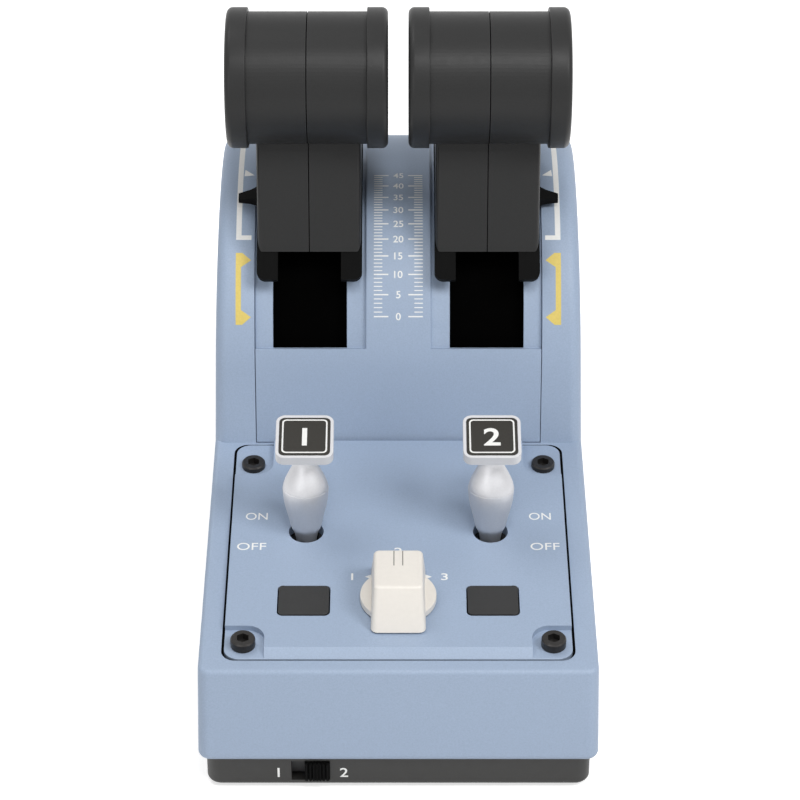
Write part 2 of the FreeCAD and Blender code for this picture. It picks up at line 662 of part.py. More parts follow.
# ---- arch cover ------------------------------------------------------------

cover = new_body("arch_cover")
s = sketch(cover, "cover_side")
band(s, "0.3", "0", "cover_thick", "cover_end")
pad(cover, s, "cover_sheet", "2 * seam_half", "both")
s = sketch(cover, "channel_side", lift="(channel_inner + seam_half + 2) / 2")
sector(s, "arch_radius - channel_deep", "arch_radius + 3", "channel_low", "cover_end + 5")
pocket(cover, s, "channel_right", "seam_half + 2 - channel_inner", "both")
s = sketch(cover, "channel_side_left", lift="-(channel_inner + seam_half + 2) / 2")
sector(s, "arch_radius - channel_deep", "arch_radius + 3", "channel_low", "cover_end + 5")
pocket(cover, s, "channel_left", "seam_half + 2 - channel_inner", "both")
soften(cover, "channel_bevels", "channel_slope",
       lambda e: near(abs(middle(e).x), val("channel_inner"))
       and near(math.hypot(middle(e).y - val("pivot_y"), middle(e).z - val("pivot_z")), val("arch_radius"))
       and abs(e.tangentAt(e.FirstParameter).x) < 0.1, kind="Chamfer")
for tag, x in (("right", "lever_x"), ("left", "-lever_x")):
    s = sketch(cover, f"slot_side_{tag}", lift=x)
    sector(s, "arch_radius - cover_thick - 2", "arch_radius + 3", "channel_low", "slot_high")
    pocket(cover, s, f"lever_slot_{tag}", "slot_width", "both")
keep("arch_cover", cover)

# ---- control plate ---------------------------------------------------------

plate = new_body("control_plate")
s = deck_sketch(plate, "plate_plan", "-plate_sink")
rectangle(s, "-plate_half", "plate_front", "plate_half", "plate_rear", "plate_corner")
pad(plate, s, "plate_sheet", "plate_sink + plate_rise")
s = sketch(plate, "bevel_side")
cs, sn = "cos(deck_slope)", "sin(deck_slope)"


def on_deck(along, high):
    """Side view of a point along the deck and above it."""
    return (f"front_y + ({along}) * {cs} - ({high}) * {sn}", f"deck_height + ({along}) * {sn} + ({high}) * {cs}")


outline(s, [on_deck("plate_front - 1", "-0.2"), on_deck("plate_front - 0.01", "-0.2"),
            on_deck("plate_front + plate_bevel", "plate_rise + 0.02"),
            on_deck("plate_front + plate_bevel", "plate_rise + 3"), on_deck("plate_front - 1", "plate_rise + 3")])
pocket(plate, s, "front_bevel", "2 * plate_half + 4", "both")
for tag, x0, x1 in (("left", "-(plate_half + 2)", "-pad_inner"), ("right", "pad_inner", "plate_half + 2")):
    for end, y0, y1 in (("front", "plate_front - 8", "plate_front + pad_long"),
                        ("rear", "pscrew_rear - 7.2", "plate_rear + 8")):
        s = deck_sketch(plate, f"corner_pad_{tag}_{end}", "plate_rise")
        rectangle(s, x0 if tag == "right" else f"{x0} - 6", y0, x1 if tag == "left" else f"{x1} + 6", y1, "pad_round")
        pocket(plate, s, f"corner_recess_{tag}_{end}", "plate_rise")
s = deck_sketch(plate, "plate_hole_plan", "plate_rise")
for side in ("-", ""):
    disc(s, f"{side}pscrew_x", "pscrew_front", "pscrew_shank / 2 + 0.3")
    disc(s, f"{side}pscrew_x", "pscrew_rear", "pscrew_shank / 2 + 0.3")
    disc(s, f"{side}control_x", "toggle_s + (toggle_low + plate_rise) * tan(toggle_tilt) / 2", "toggle_hole / 2")
    mid = f"{side}control_x"
    rectangle(s, f"{mid} - button_wide / 2 - button_gap", "button_s - button_deep / 2 - button_gap",
              f"{mid} + button_wide / 2 + button_gap", "button_s + button_deep / 2 + button_gap", "button_round")
disc(s, "0", "knob_s", "shaft_dia / 2 + 1.2")
pocket(plate, s, "plate_holes", "plate_rise + plate_sink + 2")
s = deck_sketch(plate, "board_post_plan_plate", "-plate_sink + 0.5")
posts = [(x, y) for x in ("-board_post_x", "board_post_x") for y in ("board_post_front", "board_post_rear")]
for x, along in posts:
    disc(s, x, along, "board_post_dia / 2")
pad(plate, s, "panel_board_posts", "panel_board_low - board_thick - plate_sink + 0.5", flip=True)
s = deck_sketch(plate, "board_thread_plan", "-panel_board_low")
for x, along in posts:
    disc(s, x, along, "small_screw / 2 + fit")
pocket(plate, s, "board_threads", "board_thick + 6", flip=True)
keep("control_plate", plate)

# ---- plate screws ----------------------------------------------------------

screws = []
for i, (x, along) in enumerate((x, y) for x in ("-pscrew_x", "pscrew_x") for y in ("pscrew_front", "pscrew_rear")):
    head = deck_rod(f"plate_screw_head{i}", "pscrew_head / 2", "pscrew_tall", x, along, "0.02")
    shank = deck_rod(f"plate_screw_shank{i}", "pscrew_shank / 2", "pscrew_long", x, along, "0.02 - pscrew_long")
    body = fuse(f"plate_screw_blank{i}", head, shank)
    key = doc.addObject("Part::Prism", f"plate_screw_key{i}")
    key.Polygon = 6
    key.setExpression("Circumradius", E("pscrew_key / 2 / cos(30)"))
    key.setExpression("Height", E("pscrew_tall"))
    place(key, x, f"front_y + ({along}) * {cs} - (1.2) * {sn}", f"deck_height + ({along}) * {sn} + (1.2) * {cs}", "deck_slope")
    screws.append(cut(f"plate_screw{i}", body, key))
keep("plate_screws", group("plate_screws", *screws))

# ---- base tray -------------------------------------------------------------

tray = new_body("base_tray")
s = sketch(tray, "tray_plan", "XY_Plane", "tray_bottom")
rectangle(s, "-tray_half_x", "-tray_half_y", "tray_half_x", "tray_half_y", "tray_corner")
pad(tray, s, "tray_block", "tray_top - tray_bottom")
soften(tray, "tray_lower_edge", "tray_round", lambda e: near(middle(e).z, val("tray_bottom")))
s = sketch(tray, "tray_inside", "XY_Plane", "tray_top")
rectangle(s, "-tray_half_x + tray_wall", "-tray_half_y + tray_wall", "tray_half_x - tray_wall",
          "tray_half_y - tray_wall", "1.5")
pocket(tray, s, "tray_hollow", "tray_top - floor_z")
s = sketch(tray, "lip_plan", "XY_Plane", "tray_top - 1")
lip_x, lip_y = "(cavity_half - lip_gap)", "(half_length - front_wall - lip_gap - lip_lean)"
rectangle(s, f"-{lip_x}", f"-{lip_y}", lip_x, lip_y, "1.5")
rectangle(s, f"-{lip_x} + lip_thick", f"-{lip_y} + lip_thick", f"{lip_x} - lip_thick", f"{lip_y} - lip_thick", "1.2")
pad(tray, s, "tray_lip", "lip_tall + 1")
s = sketch(tray, "boss_post_plan", "XY_Plane", "floor_z - 1")
for x in ("-boss_x", "boss_x"):
    for y in ("-boss_y", "0", "boss_y"):
        disc(s, x, y, "boss_dia / 2")
pad(tray, s, "boss_posts", "tray_top + lip_tall - floor_z + 1")
s = sketch(tray, "board_post_plan", "XY_Plane", "floor_z - 1")
for x in ("-main_board_out + 5", "-main_board_in - 5"):
    for y in ("main_board_rear - main_board_long + 8", "main_board_rear - 6"):
        disc(s, x, y, "3")
pad(tray, s, "board_posts", "main_board_z - floor_z + 1")
s = sketch(tray, "post_hole_plan", "XY_Plane", "tray_bottom")
for x in ("-boss_x", "boss_x"):
    for y in ("-boss_y", "0", "boss_y"):
        disc(s, x, y, "bscrew_dia / 2 + 0.2")
pocket(tray, s, "post_holes", "tray_top + 6", flip=True)
s = sketch(tray, "head_recess_plan", "XY_Plane", "tray_bottom")
for x in ("-boss_x", "boss_x"):
    for y in ("-boss_y", "0", "boss_y"):
        disc(s, x, y, "bscrew_head / 2 + 0.4")
pocket(tray, s, "head_recesses", "5", flip=True)
s = sketch(tray, "foot_plan", "XY_Plane", "tray_bottom")
for x in ("-foot_x", "foot_x"):
    for y in ("-foot_y_at", "foot_y_at"):
        disc(s, x, y, "foot_dia / 2 + 0.15")
pocket(tray, s, "foot_recesses", "1", flip=True)
s = sketch(tray, "slide_opening_front", "XZ_Plane", "tray_half_y + 1")
rectangle(s, "slide_x - slide_open / 2", "slide_low", "slide_x + slide_open / 2", "tray_top - 1.4")
pocket(tray, s, "slide_cut", "tray_wall + 2")
keep("base_tray", tray)

feet = []
for i, (x, y) in enumerate((x, y) for x in ("-foot_x", "foot_x") for y in ("-foot_y_at", "foot_y_at")):
    feet.append(rod(f"foot{i}", "foot_dia / 2", "foot_drop + 1", x, y, "0"))
keep("rubber_feet", group("rubber_feet", *feet))

screws = []
for i, (x, y) in enumerate((x, y) for x in ("-boss_x", "boss_x") for y in ("-boss_y", "0", "boss_y")):
    head = rod(f"base_screw_head{i}", "bscrew_head / 2", "2", x, y, "tray_bottom + 3")
    shank = rod(f"base_screw_shank{i}", "bscrew_dia / 2", "20", x, y, "tray_bottom + 5")
    screws.append(fuse(f"base_screw{i}", head, shank))
keep("base_screws", group("base_screws", *screws))

# ---- lever bearing ---------------------------------------------------------

keep("pivot_axle", cross_rod("pivot_axle", "axle_dia / 2", "2 * axle_half", "-axle_half"))


def bracket(name, x, thick, outer_foot):
    """An upright plate for the axle, its foot wider by 3 on the inside and by outer_foot outside."""
    b = new_body(name)
    s = sketch(b, name + "_side", lift=x)
    outline(s, [("pivot_y - bracket_foot", "floor_z"), ("pivot_y + bracket_foot", "floor_z"),
                ("pivot_y + bracket_head", "pivot_z"), ("pivot_y - bracket_head", "pivot_z")])
    pad(b, s, name + "_web", thick, "both")
    s = sketch(b, name + "_head_side", lift=x)
    disc(s, "pivot_y", "pivot_z", "bracket_head")
    pad(b, s, name + "_head", thick, "both")
    s = sketch(b, name + "_bore_side", lift=x)
    disc(s, "pivot_y", "pivot_z", "axle_dia / 2 + fit")
    pocket(b, s, name + "_bore", f"{thick} + 2", "both")
    s = sketch(b, name + "_window_side", lift=x)
    outline(s, [("pivot_y - bracket_foot + 13", "floor_z + 8"), ("pivot_y + bracket_foot - 13", "floor_z + 8"),
                ("pivot_y + 8", "pivot_z - sector_out - 6"), ("pivot_y - 8", "pivot_z - sector_out - 6")])
    pocket(b, s, name + "_window", f"{thick} + 2", "both")
    s = sketch(b, name + "_foot_plan", "XY_Plane", "floor_z")
    rectangle(s, f"{x} - {thick} / 2 - 3", "pivot_y - bracket_foot", f"{x} + {thick} / 2 + {outer_foot}", "pivot_y + bracket_foot")
    pad(b, s, name + "_foot", "3")
    return b


keep("bracket_right", bracket("bracket_right", "(bracket_at + bracket_thick / 2)", "bracket_thick", "0"))
keep("bracket_left", mirror("bracket_left", nodes["bracket_right"]))
keep("bracket_centre", bracket("bracket_centre", "0", "centre_thick", "3"))


def ring_piece(name, outer, inner, x, long):
    """A washer or sleeve on the axle."""
    tube = cross_rod(name + "_outer", outer, long, x)
    hole = cross_rod(name + "_bore", inner, f"({long}) + 2", f"({x}) - 1")
    return cut(name, tube, hole)


def pair(name, right):
    return group(name, right, mirror(name + "_left", right))


keep("axle_sleeves", pair("axle_sleeves", ring_piece("sleeve_right", "axle_dia / 2 + 2", "axle_dia / 2 + fit",
                                                     "centre_thick / 2 + 0.1", "arm_inner - centre_thick / 2 - 0.3")))
keep("friction_washers", pair("friction_washers", ring_piece("friction_right", "12.5", "axle_dia / 2 + 0.2",
                                                             "arm_outer + 0.15", "1.5")))
keep("spring_washers", pair("spring_washers", ring_piece("spring_right", "9", "axle_dia / 2 + 0.2",
                                                         "arm_outer + 1.75", "bracket_at - arm_outer - 1.9")))
keep("axle_clips", pair("axle_clips", ring_piece("clip_right", "axle_dia / 2 + 2.6", "axle_dia / 2 + fit",
                                                 "bracket_at + bracket_thick + 0.1", "1.2")))

sector_plate = new_body("detent_sector_right")
s = sketch(sector_plate, "sector_side", lift="bracket_at - sector_thick - 0.05")
outline(s, [ring("sector_out", "-55"), ring("sector_out", "-136"), ring("sector_in", "-136"), ring("sector_in", "-55")],
        {0: ("sector_out", "pivot_y", "pivot_z", "ccw"), 2: ("sector_in", "pivot_y", "pivot_z", "cw")})
pad(sector_plate, s, "sector_sheet", "sector_thick")
s = sketch(sector_plate, "detent_notch_side", lift="bracket_at - sector_thick - 1")
for at in ("-79.2", "-99.1", "-129.3"):
    disc(s, *ring("roller_at + 0.6", at), "roller_dia / 2 + 0.6")
pocket(sector_plate, s, "detent_notches", "sector_thick + 3", flip=True)
keep("detent_sectors", pair("detent_sectors", sector_plate))

board = cut("sensor_right", box("sensor_sheet", "board_thick", "30", "24", "centre_thick / 2 + 0.1", "pivot_y - 15", "pivot_z - 12"),
            cross_rod("sensor_hole", "axle_dia / 2 + 2.4", "10", "0"))
keep("sensor_boards", pair("sensor_boards", board))

# ---- boards and switches ---------------------------------------------------

sheet = box("main_board_sheet", "main_board_out - main_board_in", "main_board_long", "board_thick", "-main_board_out",
            "main_board_rear - main_board_long", "main_board_z + 0.05")
chip = box("main_chip", "10", "10", "1.2", "-(main_board_out + main_board_in) / 2 - 5",
           "main_board_rear - main_board_long / 2 - 5", "main_board_z + board_thick + 0.05")
keep("main_board", fuse("main_board", sheet, chip))
shell = box("usb_shell", "9", "8", "3.2", "-29.5", "half_length - 8.2", "main_board_z + board_thick + 0.1")
hole = box("usb_mouth", "8.2", "6", "2.4", "-29.1", "half_length - 6", "main_board_z + board_thick + 0.5")
keep("usb_socket", cut("usb_socket", shell, hole))

board_low = "-panel_board_low"
board_top = "-panel_board_low + board_thick"
sheet = deck_box("panel_sheet", "2 * window_half - 4", "72", "board_thick", "-window_half + 2", "14", board_low)
holes = [deck_rod(f"panel_hole{i}", "small_screw / 2 + 0.2", "6", x, along, "-panel_board_low - 2")
         for i, (x, along) in enumerate(posts)]
keep("panel_board", cut("panel_board", sheet, *holes))
screws = []
for i, (x, along) in enumerate(posts):
    head = deck_rod(f"board_screw_head{i}", "2", "1.4", x, along, "-panel_board_low - 1.45")
    shank = deck_rod(f"board_screw_shank{i}", "small_screw / 2", "6", x, along, "-panel_board_low - 0.2")
    screws.append(fuse(f"board_screw{i}", head, shank))
keep("board_screws", group("board_screws", *screws))
block = deck_box("rotary_block", "14", "14", "8.4", "-7", "knob_s - 7", f"{board_top} + 0.05")
neck = deck_rod("rotary_neck", "shaft_dia / 2 + 1", "panel_board_low - board_thick - 4.6 + plate_rise", "0", "knob_s", f"{board_top} + 4")
bore = deck_rod("rotary_bore", "shaft_dia / 2 + fit", "30", "0", "knob_s", f"plate_rise + knob_gap - shaft_long - 0.2")
keep("rotary_switch", cut("rotary_switch", fuse("rotary_solid", block, neck), bore))
tacts = []
for i, x in enumerate(("-control_x", "control_x")):
    case = deck_box(f"tact_case{i}", "6", "6", "3.5", f"{x} - 3", "button_s - 3", f"{board_top} + 0.05")
    plunger = deck_rod(f"tact_plunger{i}", "1.75", "1.6", x, "button_s", f"{board_top} + 3")
    tacts.append(fuse(f"tact{i}", case, plunger))
keep("tact_switches", group("tact_switches", *tacts))
switches = []
for i, x in enumerate(("-control_x", "control_x")):
    case = deck_box(f"toggle_case{i}", "16", "20", "panel_board_low - board_thick - plate_sink - 0.15", f"{x} - 8", "toggle_s - 10", f"{board_top} + 0.05")
    well = deck_box(f"toggle_well{i}", "8.4", "14", "20", f"{x} - 4.2", "toggle_s - 7", "-panel_board_low + board_thick + 1.2")
    pin = cross_rod(f"toggle_pin{i}", "pin_dia / 2", "12", f"{x} - 6",
                    f"front_y + toggle_s * {cs} + toggle_low * {sn}", f"deck_height + toggle_s * {sn} - toggle_low * {cs}")
    switches.append(fuse(f"toggle_switch{i}", cut(f"toggle_open{i}", case, well), pin))
keep("toggle_switches", group("toggle_switches", *switches))
keep("slide_switch", box("slide_switch", "20", "6", "7", "slide_x - 10", "-tray_half_y + tray_wall + 0.1", "floor_z + 0.05"))

# ---- throttle levers -------------------------------------------------------

def along_arm(out, side):
    """A point out along the lever arm and to the side of its middle line, seen from the side."""
    return (f"pivot_y - ({out}) * cos(arm_at) - ({side}) * sin(arm_at)",
            f"pivot_z + ({out}) * sin(arm_at) - ({side}) * cos(arm_at)")


arm = new_body("lever_arm_right")
s = sketch(arm, "hub_side", lift="lever_x")
disc(s, "pivot_y", "pivot_z", "hub_radius")
pad(arm, s, "hub", "arm_wide", "both")
s = sketch(arm, "arm_side", lift="lever_x")
outline(s, [along_arm("0", "arm_half"), along_arm("arm_neck", "arm_half"), along_arm("arm_neck", "-arm_half"), along_arm("0", "-arm_half")])
pad(arm, s, "arm_blade", "arm_wide", "both")
s = sketch(arm, "tongue_side", lift="lever_x")
outline(s, [along_arm("arm_neck - 4", "arm_half"), along_arm("tongue_end", "arm_half"), along_arm("tongue_end", "-arm_half"), along_arm("arm_neck - 4", "-arm_half")])
pad(arm, s, "arm_tongue", "tongue_wide", "both")
s = sketch(arm, "tail_side", lift="arm_outer - 7.5")
outline(s, [("pivot_y - 7", "pivot_z"), ("pivot_y - 4", "pivot_z - roller_at - 3"), ("pivot_y + 4", "pivot_z - roller_at - 3"), ("pivot_y + 7", "pivot_z")])
pad(arm, s, "detent_tail", "tail_thick", "both")
s = sketch(arm, "shield_side", lift="lever_x")
sector(s, "shield_out - shield_thick", "shield_out", "shield_low", "shield_high")
pad(arm, s, "slot_shield", "shield_wide", "both")
s = sketch(arm, "hub_bore_side", lift="lever_x")
disc(s, "pivot_y", "pivot_z", "axle_dia / 2 + bush_wall + fit")
pocket(arm, s, "hub_bore", "arm_wide + 4", "both")
s = sketch(arm, "roller_hole_side", lift="lever_x")
disc(s, "pivot_y", "pivot_z - roller_at", "1.5 + fit")
pocket(arm, s, "roller_hole", "arm_wide + 4", "both")
keep("lever_arm_right", arm)

keep("arm_bush_right", ring_piece("arm_bush_right", "axle_dia / 2 + bush_wall", "axle_dia / 2 + fit", "arm_inner + 0.05", "arm_wide - 0.1"))
keep("magnet_ring_right", ring_piece("magnet_ring_right", "12", "axle_dia / 2 + 2.5", "arm_inner - 3.05", "3"))
roller = fuse("detent_roller_solid",
              cross_rod("roller_wheel", "roller_dia / 2", "sector_thick", "bracket_at - sector_thick - 0.15", "pivot_y", "pivot_z - roller_at"),
              cross_rod("roller_pin", "1.5", "bracket_at - sector_thick - 0.3 - arm_outer + 9.5", "arm_outer - 9.5", "pivot_y", "pivot_z - roller_at"))
keep("detent_roller_right", roller)


def grip_profile(s):
    """Side outline of the grip body below the barrel."""
    front_low = ring("body_low", "body_front")
    back_low = ring("body_low", "body_back")
    outline(s, [front_low, (f"{front_low[0]} + body_lean", f"{front_low[1]} + body_rise"),
                ("barrel_y", "barrel_z"),
                ("barrel_y + barrel_radius * cos(15)", "barrel_z - barrel_radius * sin(15)"), back_low],
            {4: ("body_low", "pivot_y", "pivot_z", "ccw")})


def grip_half(name, sign):
    """One half of a grip, split at the middle plane of its lever."""
    b = new_body(name)
    at = f"lever_x {sign} seam_line"
    s = sketch(b, name + "_barrel_side", lift=at)
    disc(s, "barrel_y", "barrel_z", "barrel_radius")
    pad(b, s, name + "_barrel", "barrel_half - seam_line", flip=(sign == "-"))
    s = sketch(b, name + "_body_side", lift=at)
    grip_profile(s)
    pad(b, s, name + "_body", "body_half - seam_line", flip=(sign == "-"))
    face_x = val(f"lever_x {sign} body_half")
    soften(b, name + "_edges", "body_round",
           lambda e: near(middle(e).x, face_x) and middle(e).z < val("barrel_z") - 24)
    s = sketch(b, name + "_tongue_side", lift=at)
    outline(s, [along_arm("body_low - 9", "arm_half + 0.2"), along_arm("tongue_end + 0.3", "arm_half + 0.2"),
                along_arm("tongue_end + 0.3", "-arm_half - 0.2"), along_arm("body_low - 9", "-arm_half - 0.2")])
    pocket(b, s, name + "_tongue_slot", "tongue_wide / 2 + 0.1 - seam_line", flip=(sign == "+"))
    s = sketch(b, name + "_reverser_side", lift=at)
    room = "(rev_root + rev_gap)"
    outline(s, [(f"rev_y - {room}", f"rev_z - {room}"), ("rev_y + rev_slot_deep", f"rev_z - {room}"),
                ("rev_y + rev_slot_deep", "rev_z + rev_slot_tall"), ("rev_y + 2", "rev_z + rev_slot_tall"),
                (f"rev_y - {room}", f"rev_z + {room}")])
    pocket(b, s, name + "_reverser_slot", "rev_wide / 2 + rev_gap - seam_line", flip=(sign == "+"))
    s = sketch(b, name + "_pin_side", lift=at)
    disc(s, "rev_y", "rev_z", "rev_pin / 2 + fit")
    pocket(b, s, name + "_pin_hole", "14", flip=(sign == "+"))
    return b


keep("grip_inner_right", grip_half("grip_inner_right", "-"))
keep("grip_outer_right", grip_half("grip_outer_right", "+"))


def end_cap(name, sign, button):
    """The flanged end of the barrel, turned about its axis."""
    b = new_body(name)
    s = sketch(b, name + "_side", lift=f"lever_x {sign} barrel_half")
    disc(s, "barrel_y", "barrel_z", "rim_radius")
    pad(b, s, name + "_disc", "rim_wide", flip=(sign == "-"))
    rim_x = val(f"lever_x {sign} (barrel_half + rim_wide)")
    soften(b, name + "_edge", "rim_round", lambda e: near(middle(e).x, rim_x))
    if button:
        s = sketch(b, name + "_pocket_side", lift=f"lever_x {sign} (barrel_half + rim_wide)")
        disc(s, "barrel_y", "barrel_z", "push_dia / 2 + push_gap")
        pocket(b, s, name + "_pocket", "push_deep", flip=(sign == "-"))
    return b


keep("end_cap_inner_right", end_cap("end_cap_inner_right", "-", False))
keep("end_cap_outer_right", end_cap("end_cap_outer_right", "+", True))

skirt = new_body("slot_skirt_right")
s = sketch(skirt, "skirt_side", lift="lever_x")
sector(s, "skirt_low", "body_low - 0.2", "skirt_front", "skirt_back")
pad(skirt, s, "skirt_block", "2 * skirt_half", "both")
soften(skirt, "skirt_corners", "skirt_round",
       lambda e: near(abs(middle(e).x - val("lever_x")), val("skirt_half"))
       and e.Length < val("body_low") - val("skirt_low") + 1)
s = sketch(skirt, "skirt_slot_side", lift="lever_x")
outline(s, [along_arm("skirt_low - 6", "arm_half + 0.2"), along_arm("body_low + 6", "arm_half + 0.2"),
            along_arm("body_low + 6", "-arm_half - 0.2"), along_arm("skirt_low - 6", "-arm_half - 0.2")])
pocket(skirt, s, "skirt_slot", "arm_wide + 0.8", "both")
s = sketch(skirt, "skirt_mouth_side", lift="lever_x")
sector(s, "skirt_low - 1", "body_low + 1", "skirt_front - 2", "arm_at - 6")
pocket(skirt, s, "skirt_mouth", "arm_wide + 0.8", "both")
pointer = skirt.newObject("PartDesign::AdditiveLoft", "skirt_pointer")
sections = []
for tag, share, half in (("root", "0", "nub_root"), ("flare", "flare_share", "nub_flare"),
                         ("waist", "waist_share", "nub_waist"), ("tip", "1", "nub_tip")):
    s = sketch(skirt, f"pointer_{tag}_side", lift=f"lever_x + skirt_half - 0.5 + (nub_long + 0.5) * {share}")
    top = f"body_low - 0.2 - (body_low - 0.2 - skirt_low - nub_thin) * {share}"
    outline(s, [ring("skirt_low", f"(nub_at - {half})"), ring(top, f"(nub_at - {half})"),
                ring(top, f"(nub_at + {half})"), ring("skirt_low", f"(nub_at + {half})")])
    s.Visibility = False
    sections.append(s)
pointer.Profile, pointer.Sections = sections[0], sections[1:]
pointer.Ruled = True
skirt.Tip = pointer
keep("slot_skirt_right", skirt)

keep("disconnect_button_right", cross_rod("disconnect_button_right", "push_dia / 2", "push_long",
                                          "lever_x + barrel_half + rim_wide - push_long - 0.3", "barrel_y", "barrel_z"))

keep("reverser_pin_right", cross_rod("reverser_pin_right", "rev_pin / 2", "26", "lever_x - 13", "rev_y", "rev_z"))
rev = new_body("reverser_right")
s = sketch(rev, "reverser_root_side", lift="lever_x")
disc(s, "rev_y", "rev_z", "rev_root")
pad(rev, s, "reverser_root", "rev_wide", "both")
s = sketch(rev, "reverser_blade_side", lift="lever_x")
outline(s, [("rev_y + 1.8", "rev_z - rev_root + 0.4"), ("rev_bar_y + 1", "rev_bar_z - rev_bar / 2 + 0.5"),
            ("rev_bar_y - 2.5", "rev_bar_z + 3"), ("rev_y - 2.2", "rev_z + rev_root - 0.6")])
pad(rev, s, "reverser_blade", "rev_wide", "both")
s = sketch(rev, "finger_bar_side", lift="lever_x")
disc(s, "rev_bar_y", "rev_bar_z", "rev_bar / 2")
pad(rev, s, "finger_bar", "rev_bar_wide", "both")
s = sketch(rev, "reverser_bore_side", lift="lever_x")
disc(s, "rev_y", "rev_z", "rev_pin / 2 + fit")
pocket(rev, s, "reverser_bore", "rev_wide + 4", "both")
keep("reverser_right", rev)

for name in ("lever_arm", "arm_bush", "magnet_ring", "detent_roller", "grip_inner", "grip_outer", "end_cap_inner",
             "end_cap_outer", "slot_skirt", "disconnect_button", "reverser_pin", "reverser"):
    keep(name + "_left", mirror(name + "_left", nodes[name + "_right"]))

# ---- master toggles --------------------------------------------------------

def tilted_sketch(body, name, high, tilt):
    """A sketch square to an axis that leans back by tilt from the deck's normal, above the toggle pivot."""
    s = body.newObject("Sketcher::SketchObject", name)
    s.AttachmentSupport = [(origin_plane(body, "XY_Plane"), "")]
    s.MapMode = "FlatFace"
    s.AttachmentOffset = FreeCAD.Placement(V(0, 0, 0), FreeCAD.Rotation(V(1, 0, 0), -4))
    stem = "(deck_slope - toggle_tilt)"
    s.setExpression("AttachmentOffset.Base.x", E("control_x"))
    s.setExpression("AttachmentOffset.Base.y", E(f"front_y + toggle_s * {cs} + toggle_low * {sn} - ({high}) * sin{stem}"))
    s.setExpression("AttachmentOffset.Base.z", E(f"deck_height + toggle_s * {sn} - toggle_low * {cs} + ({high}) * cos{stem}"))
    s.setExpression("AttachmentOffset.Rotation.Angle", E(f"deck_slope - toggle_tilt + ({tilt})"))
    return s


stem = new_body("toggle_stem_right")
s = stem.newObject("Sketcher::SketchObject", "stem_profile")
s.AttachmentSupport = [(origin_plane(stem, "XZ_Plane"), "")]
s.MapMode = "FlatFace"
s.AttachmentOffset = FreeCAD.Placement(V(0, 0, 0), FreeCAD.Rotation(V(1, 0, 0), -4))
s.setExpression("AttachmentOffset.Base.x", E("control_x"))
s.setExpression("AttachmentOffset.Base.y", E(f"deck_height + toggle_s * {sn} - toggle_low * {cs}"))
s.setExpression("AttachmentOffset.Base.z", E(f"-(front_y + toggle_s * {cs} + toggle_low * {sn})"))
s.setExpression("AttachmentOffset.Rotation.Angle", E("deck_slope - toggle_tilt"))
outline(s, [("0", "-stem_tail"), ("1.6", "-stem_tail"), ("2.2", "-3"), ("3.1", "0"),
            ("stem_root", "toggle_low + plate_rise"), ("stem_foot", "toggle_low + plate_rise + 2.9"),
            ("stem_swell", "toggle_low + plate_rise + 8.2"), ("stem_waist", "toggle_low + plate_rise + 13.2"),
            ("stem_collar", "stem_collar_at - 3.1"), ("stem_collar", "stem_collar_at"),
            ("stem_shoulder", "stem_collar_at + 4.6"), ("stem_shoulder - 1.2", "stem_collar_at + 7.4"),
            ("stem_neck", "stem_collar_at + 10.4"), ("stem_neck", "stem_top_at"), ("0", "stem_top_at")])
spin(stem, s, "stem_turned")
s = sketch(stem, "stem_pin_side", lift="control_x")
disc(s, f"front_y + toggle_s * {cs} + toggle_low * {sn}", f"deck_height + toggle_s * {sn} - toggle_low * {cs}", "pin_dia / 2 + fit")
pocket(stem, s, "stem_pin_hole", "12", "both")
keep("toggle_stem_right", stem)

cap = new_body("toggle_cap_right")
s = tilted_sketch(cap, "cap_plan", "cap_at", "cap_turn")
rectangle(s, "-cap_wide / 2", "-cap_wide / 2", "cap_wide / 2", "cap_wide / 2", "cap_corner")
pad(cap, s, "cap_block", "cap_thick")
s = tilted_sketch(cap, "cap_socket_plan", "stem_top_at + 0.05", "0")
disc(s, "0", "0", "stem_neck + 0.05")
pocket(cap, s, "cap_socket", "cap_thick + 2")
keep("toggle_cap_right", cap)
seat = "cap_at + (cap_thick - label_sink) * cos(cap_turn)"
shift = "(cap_thick - label_sink) * sin(cap_turn)"
s = tilted_sketch(cap, "label_seat_plan", seat, "cap_turn")
rectangle(s, "-label_wide / 2 - 0.1", f"-label_wide / 2 - 0.1 - {shift}", "label_wide / 2 + 0.1", f"label_wide / 2 + 0.1 - {shift}", "2")
pocket(cap, s, "label_seat", "label_sink + 2", flip=True)

label = new_body("toggle_label_right")
s = tilted_sketch(label, "label_plan", f"{seat} + 0.02", "cap_turn")
rectangle(s, "-label_wide / 2", f"-label_wide / 2 - {shift}", "label_wide / 2", f"label_wide / 2 - {shift}", "1.9")
pad(label, s, "label_sheet", "label_thick")
keep("toggle_label_right", label)
for name in ("toggle_stem", "toggle_cap", "toggle_label"):
    keep(name + "_left", mirror(name + "_left", nodes[name + "_right"]))

# ---- mode knob -------------------------------------------------------------

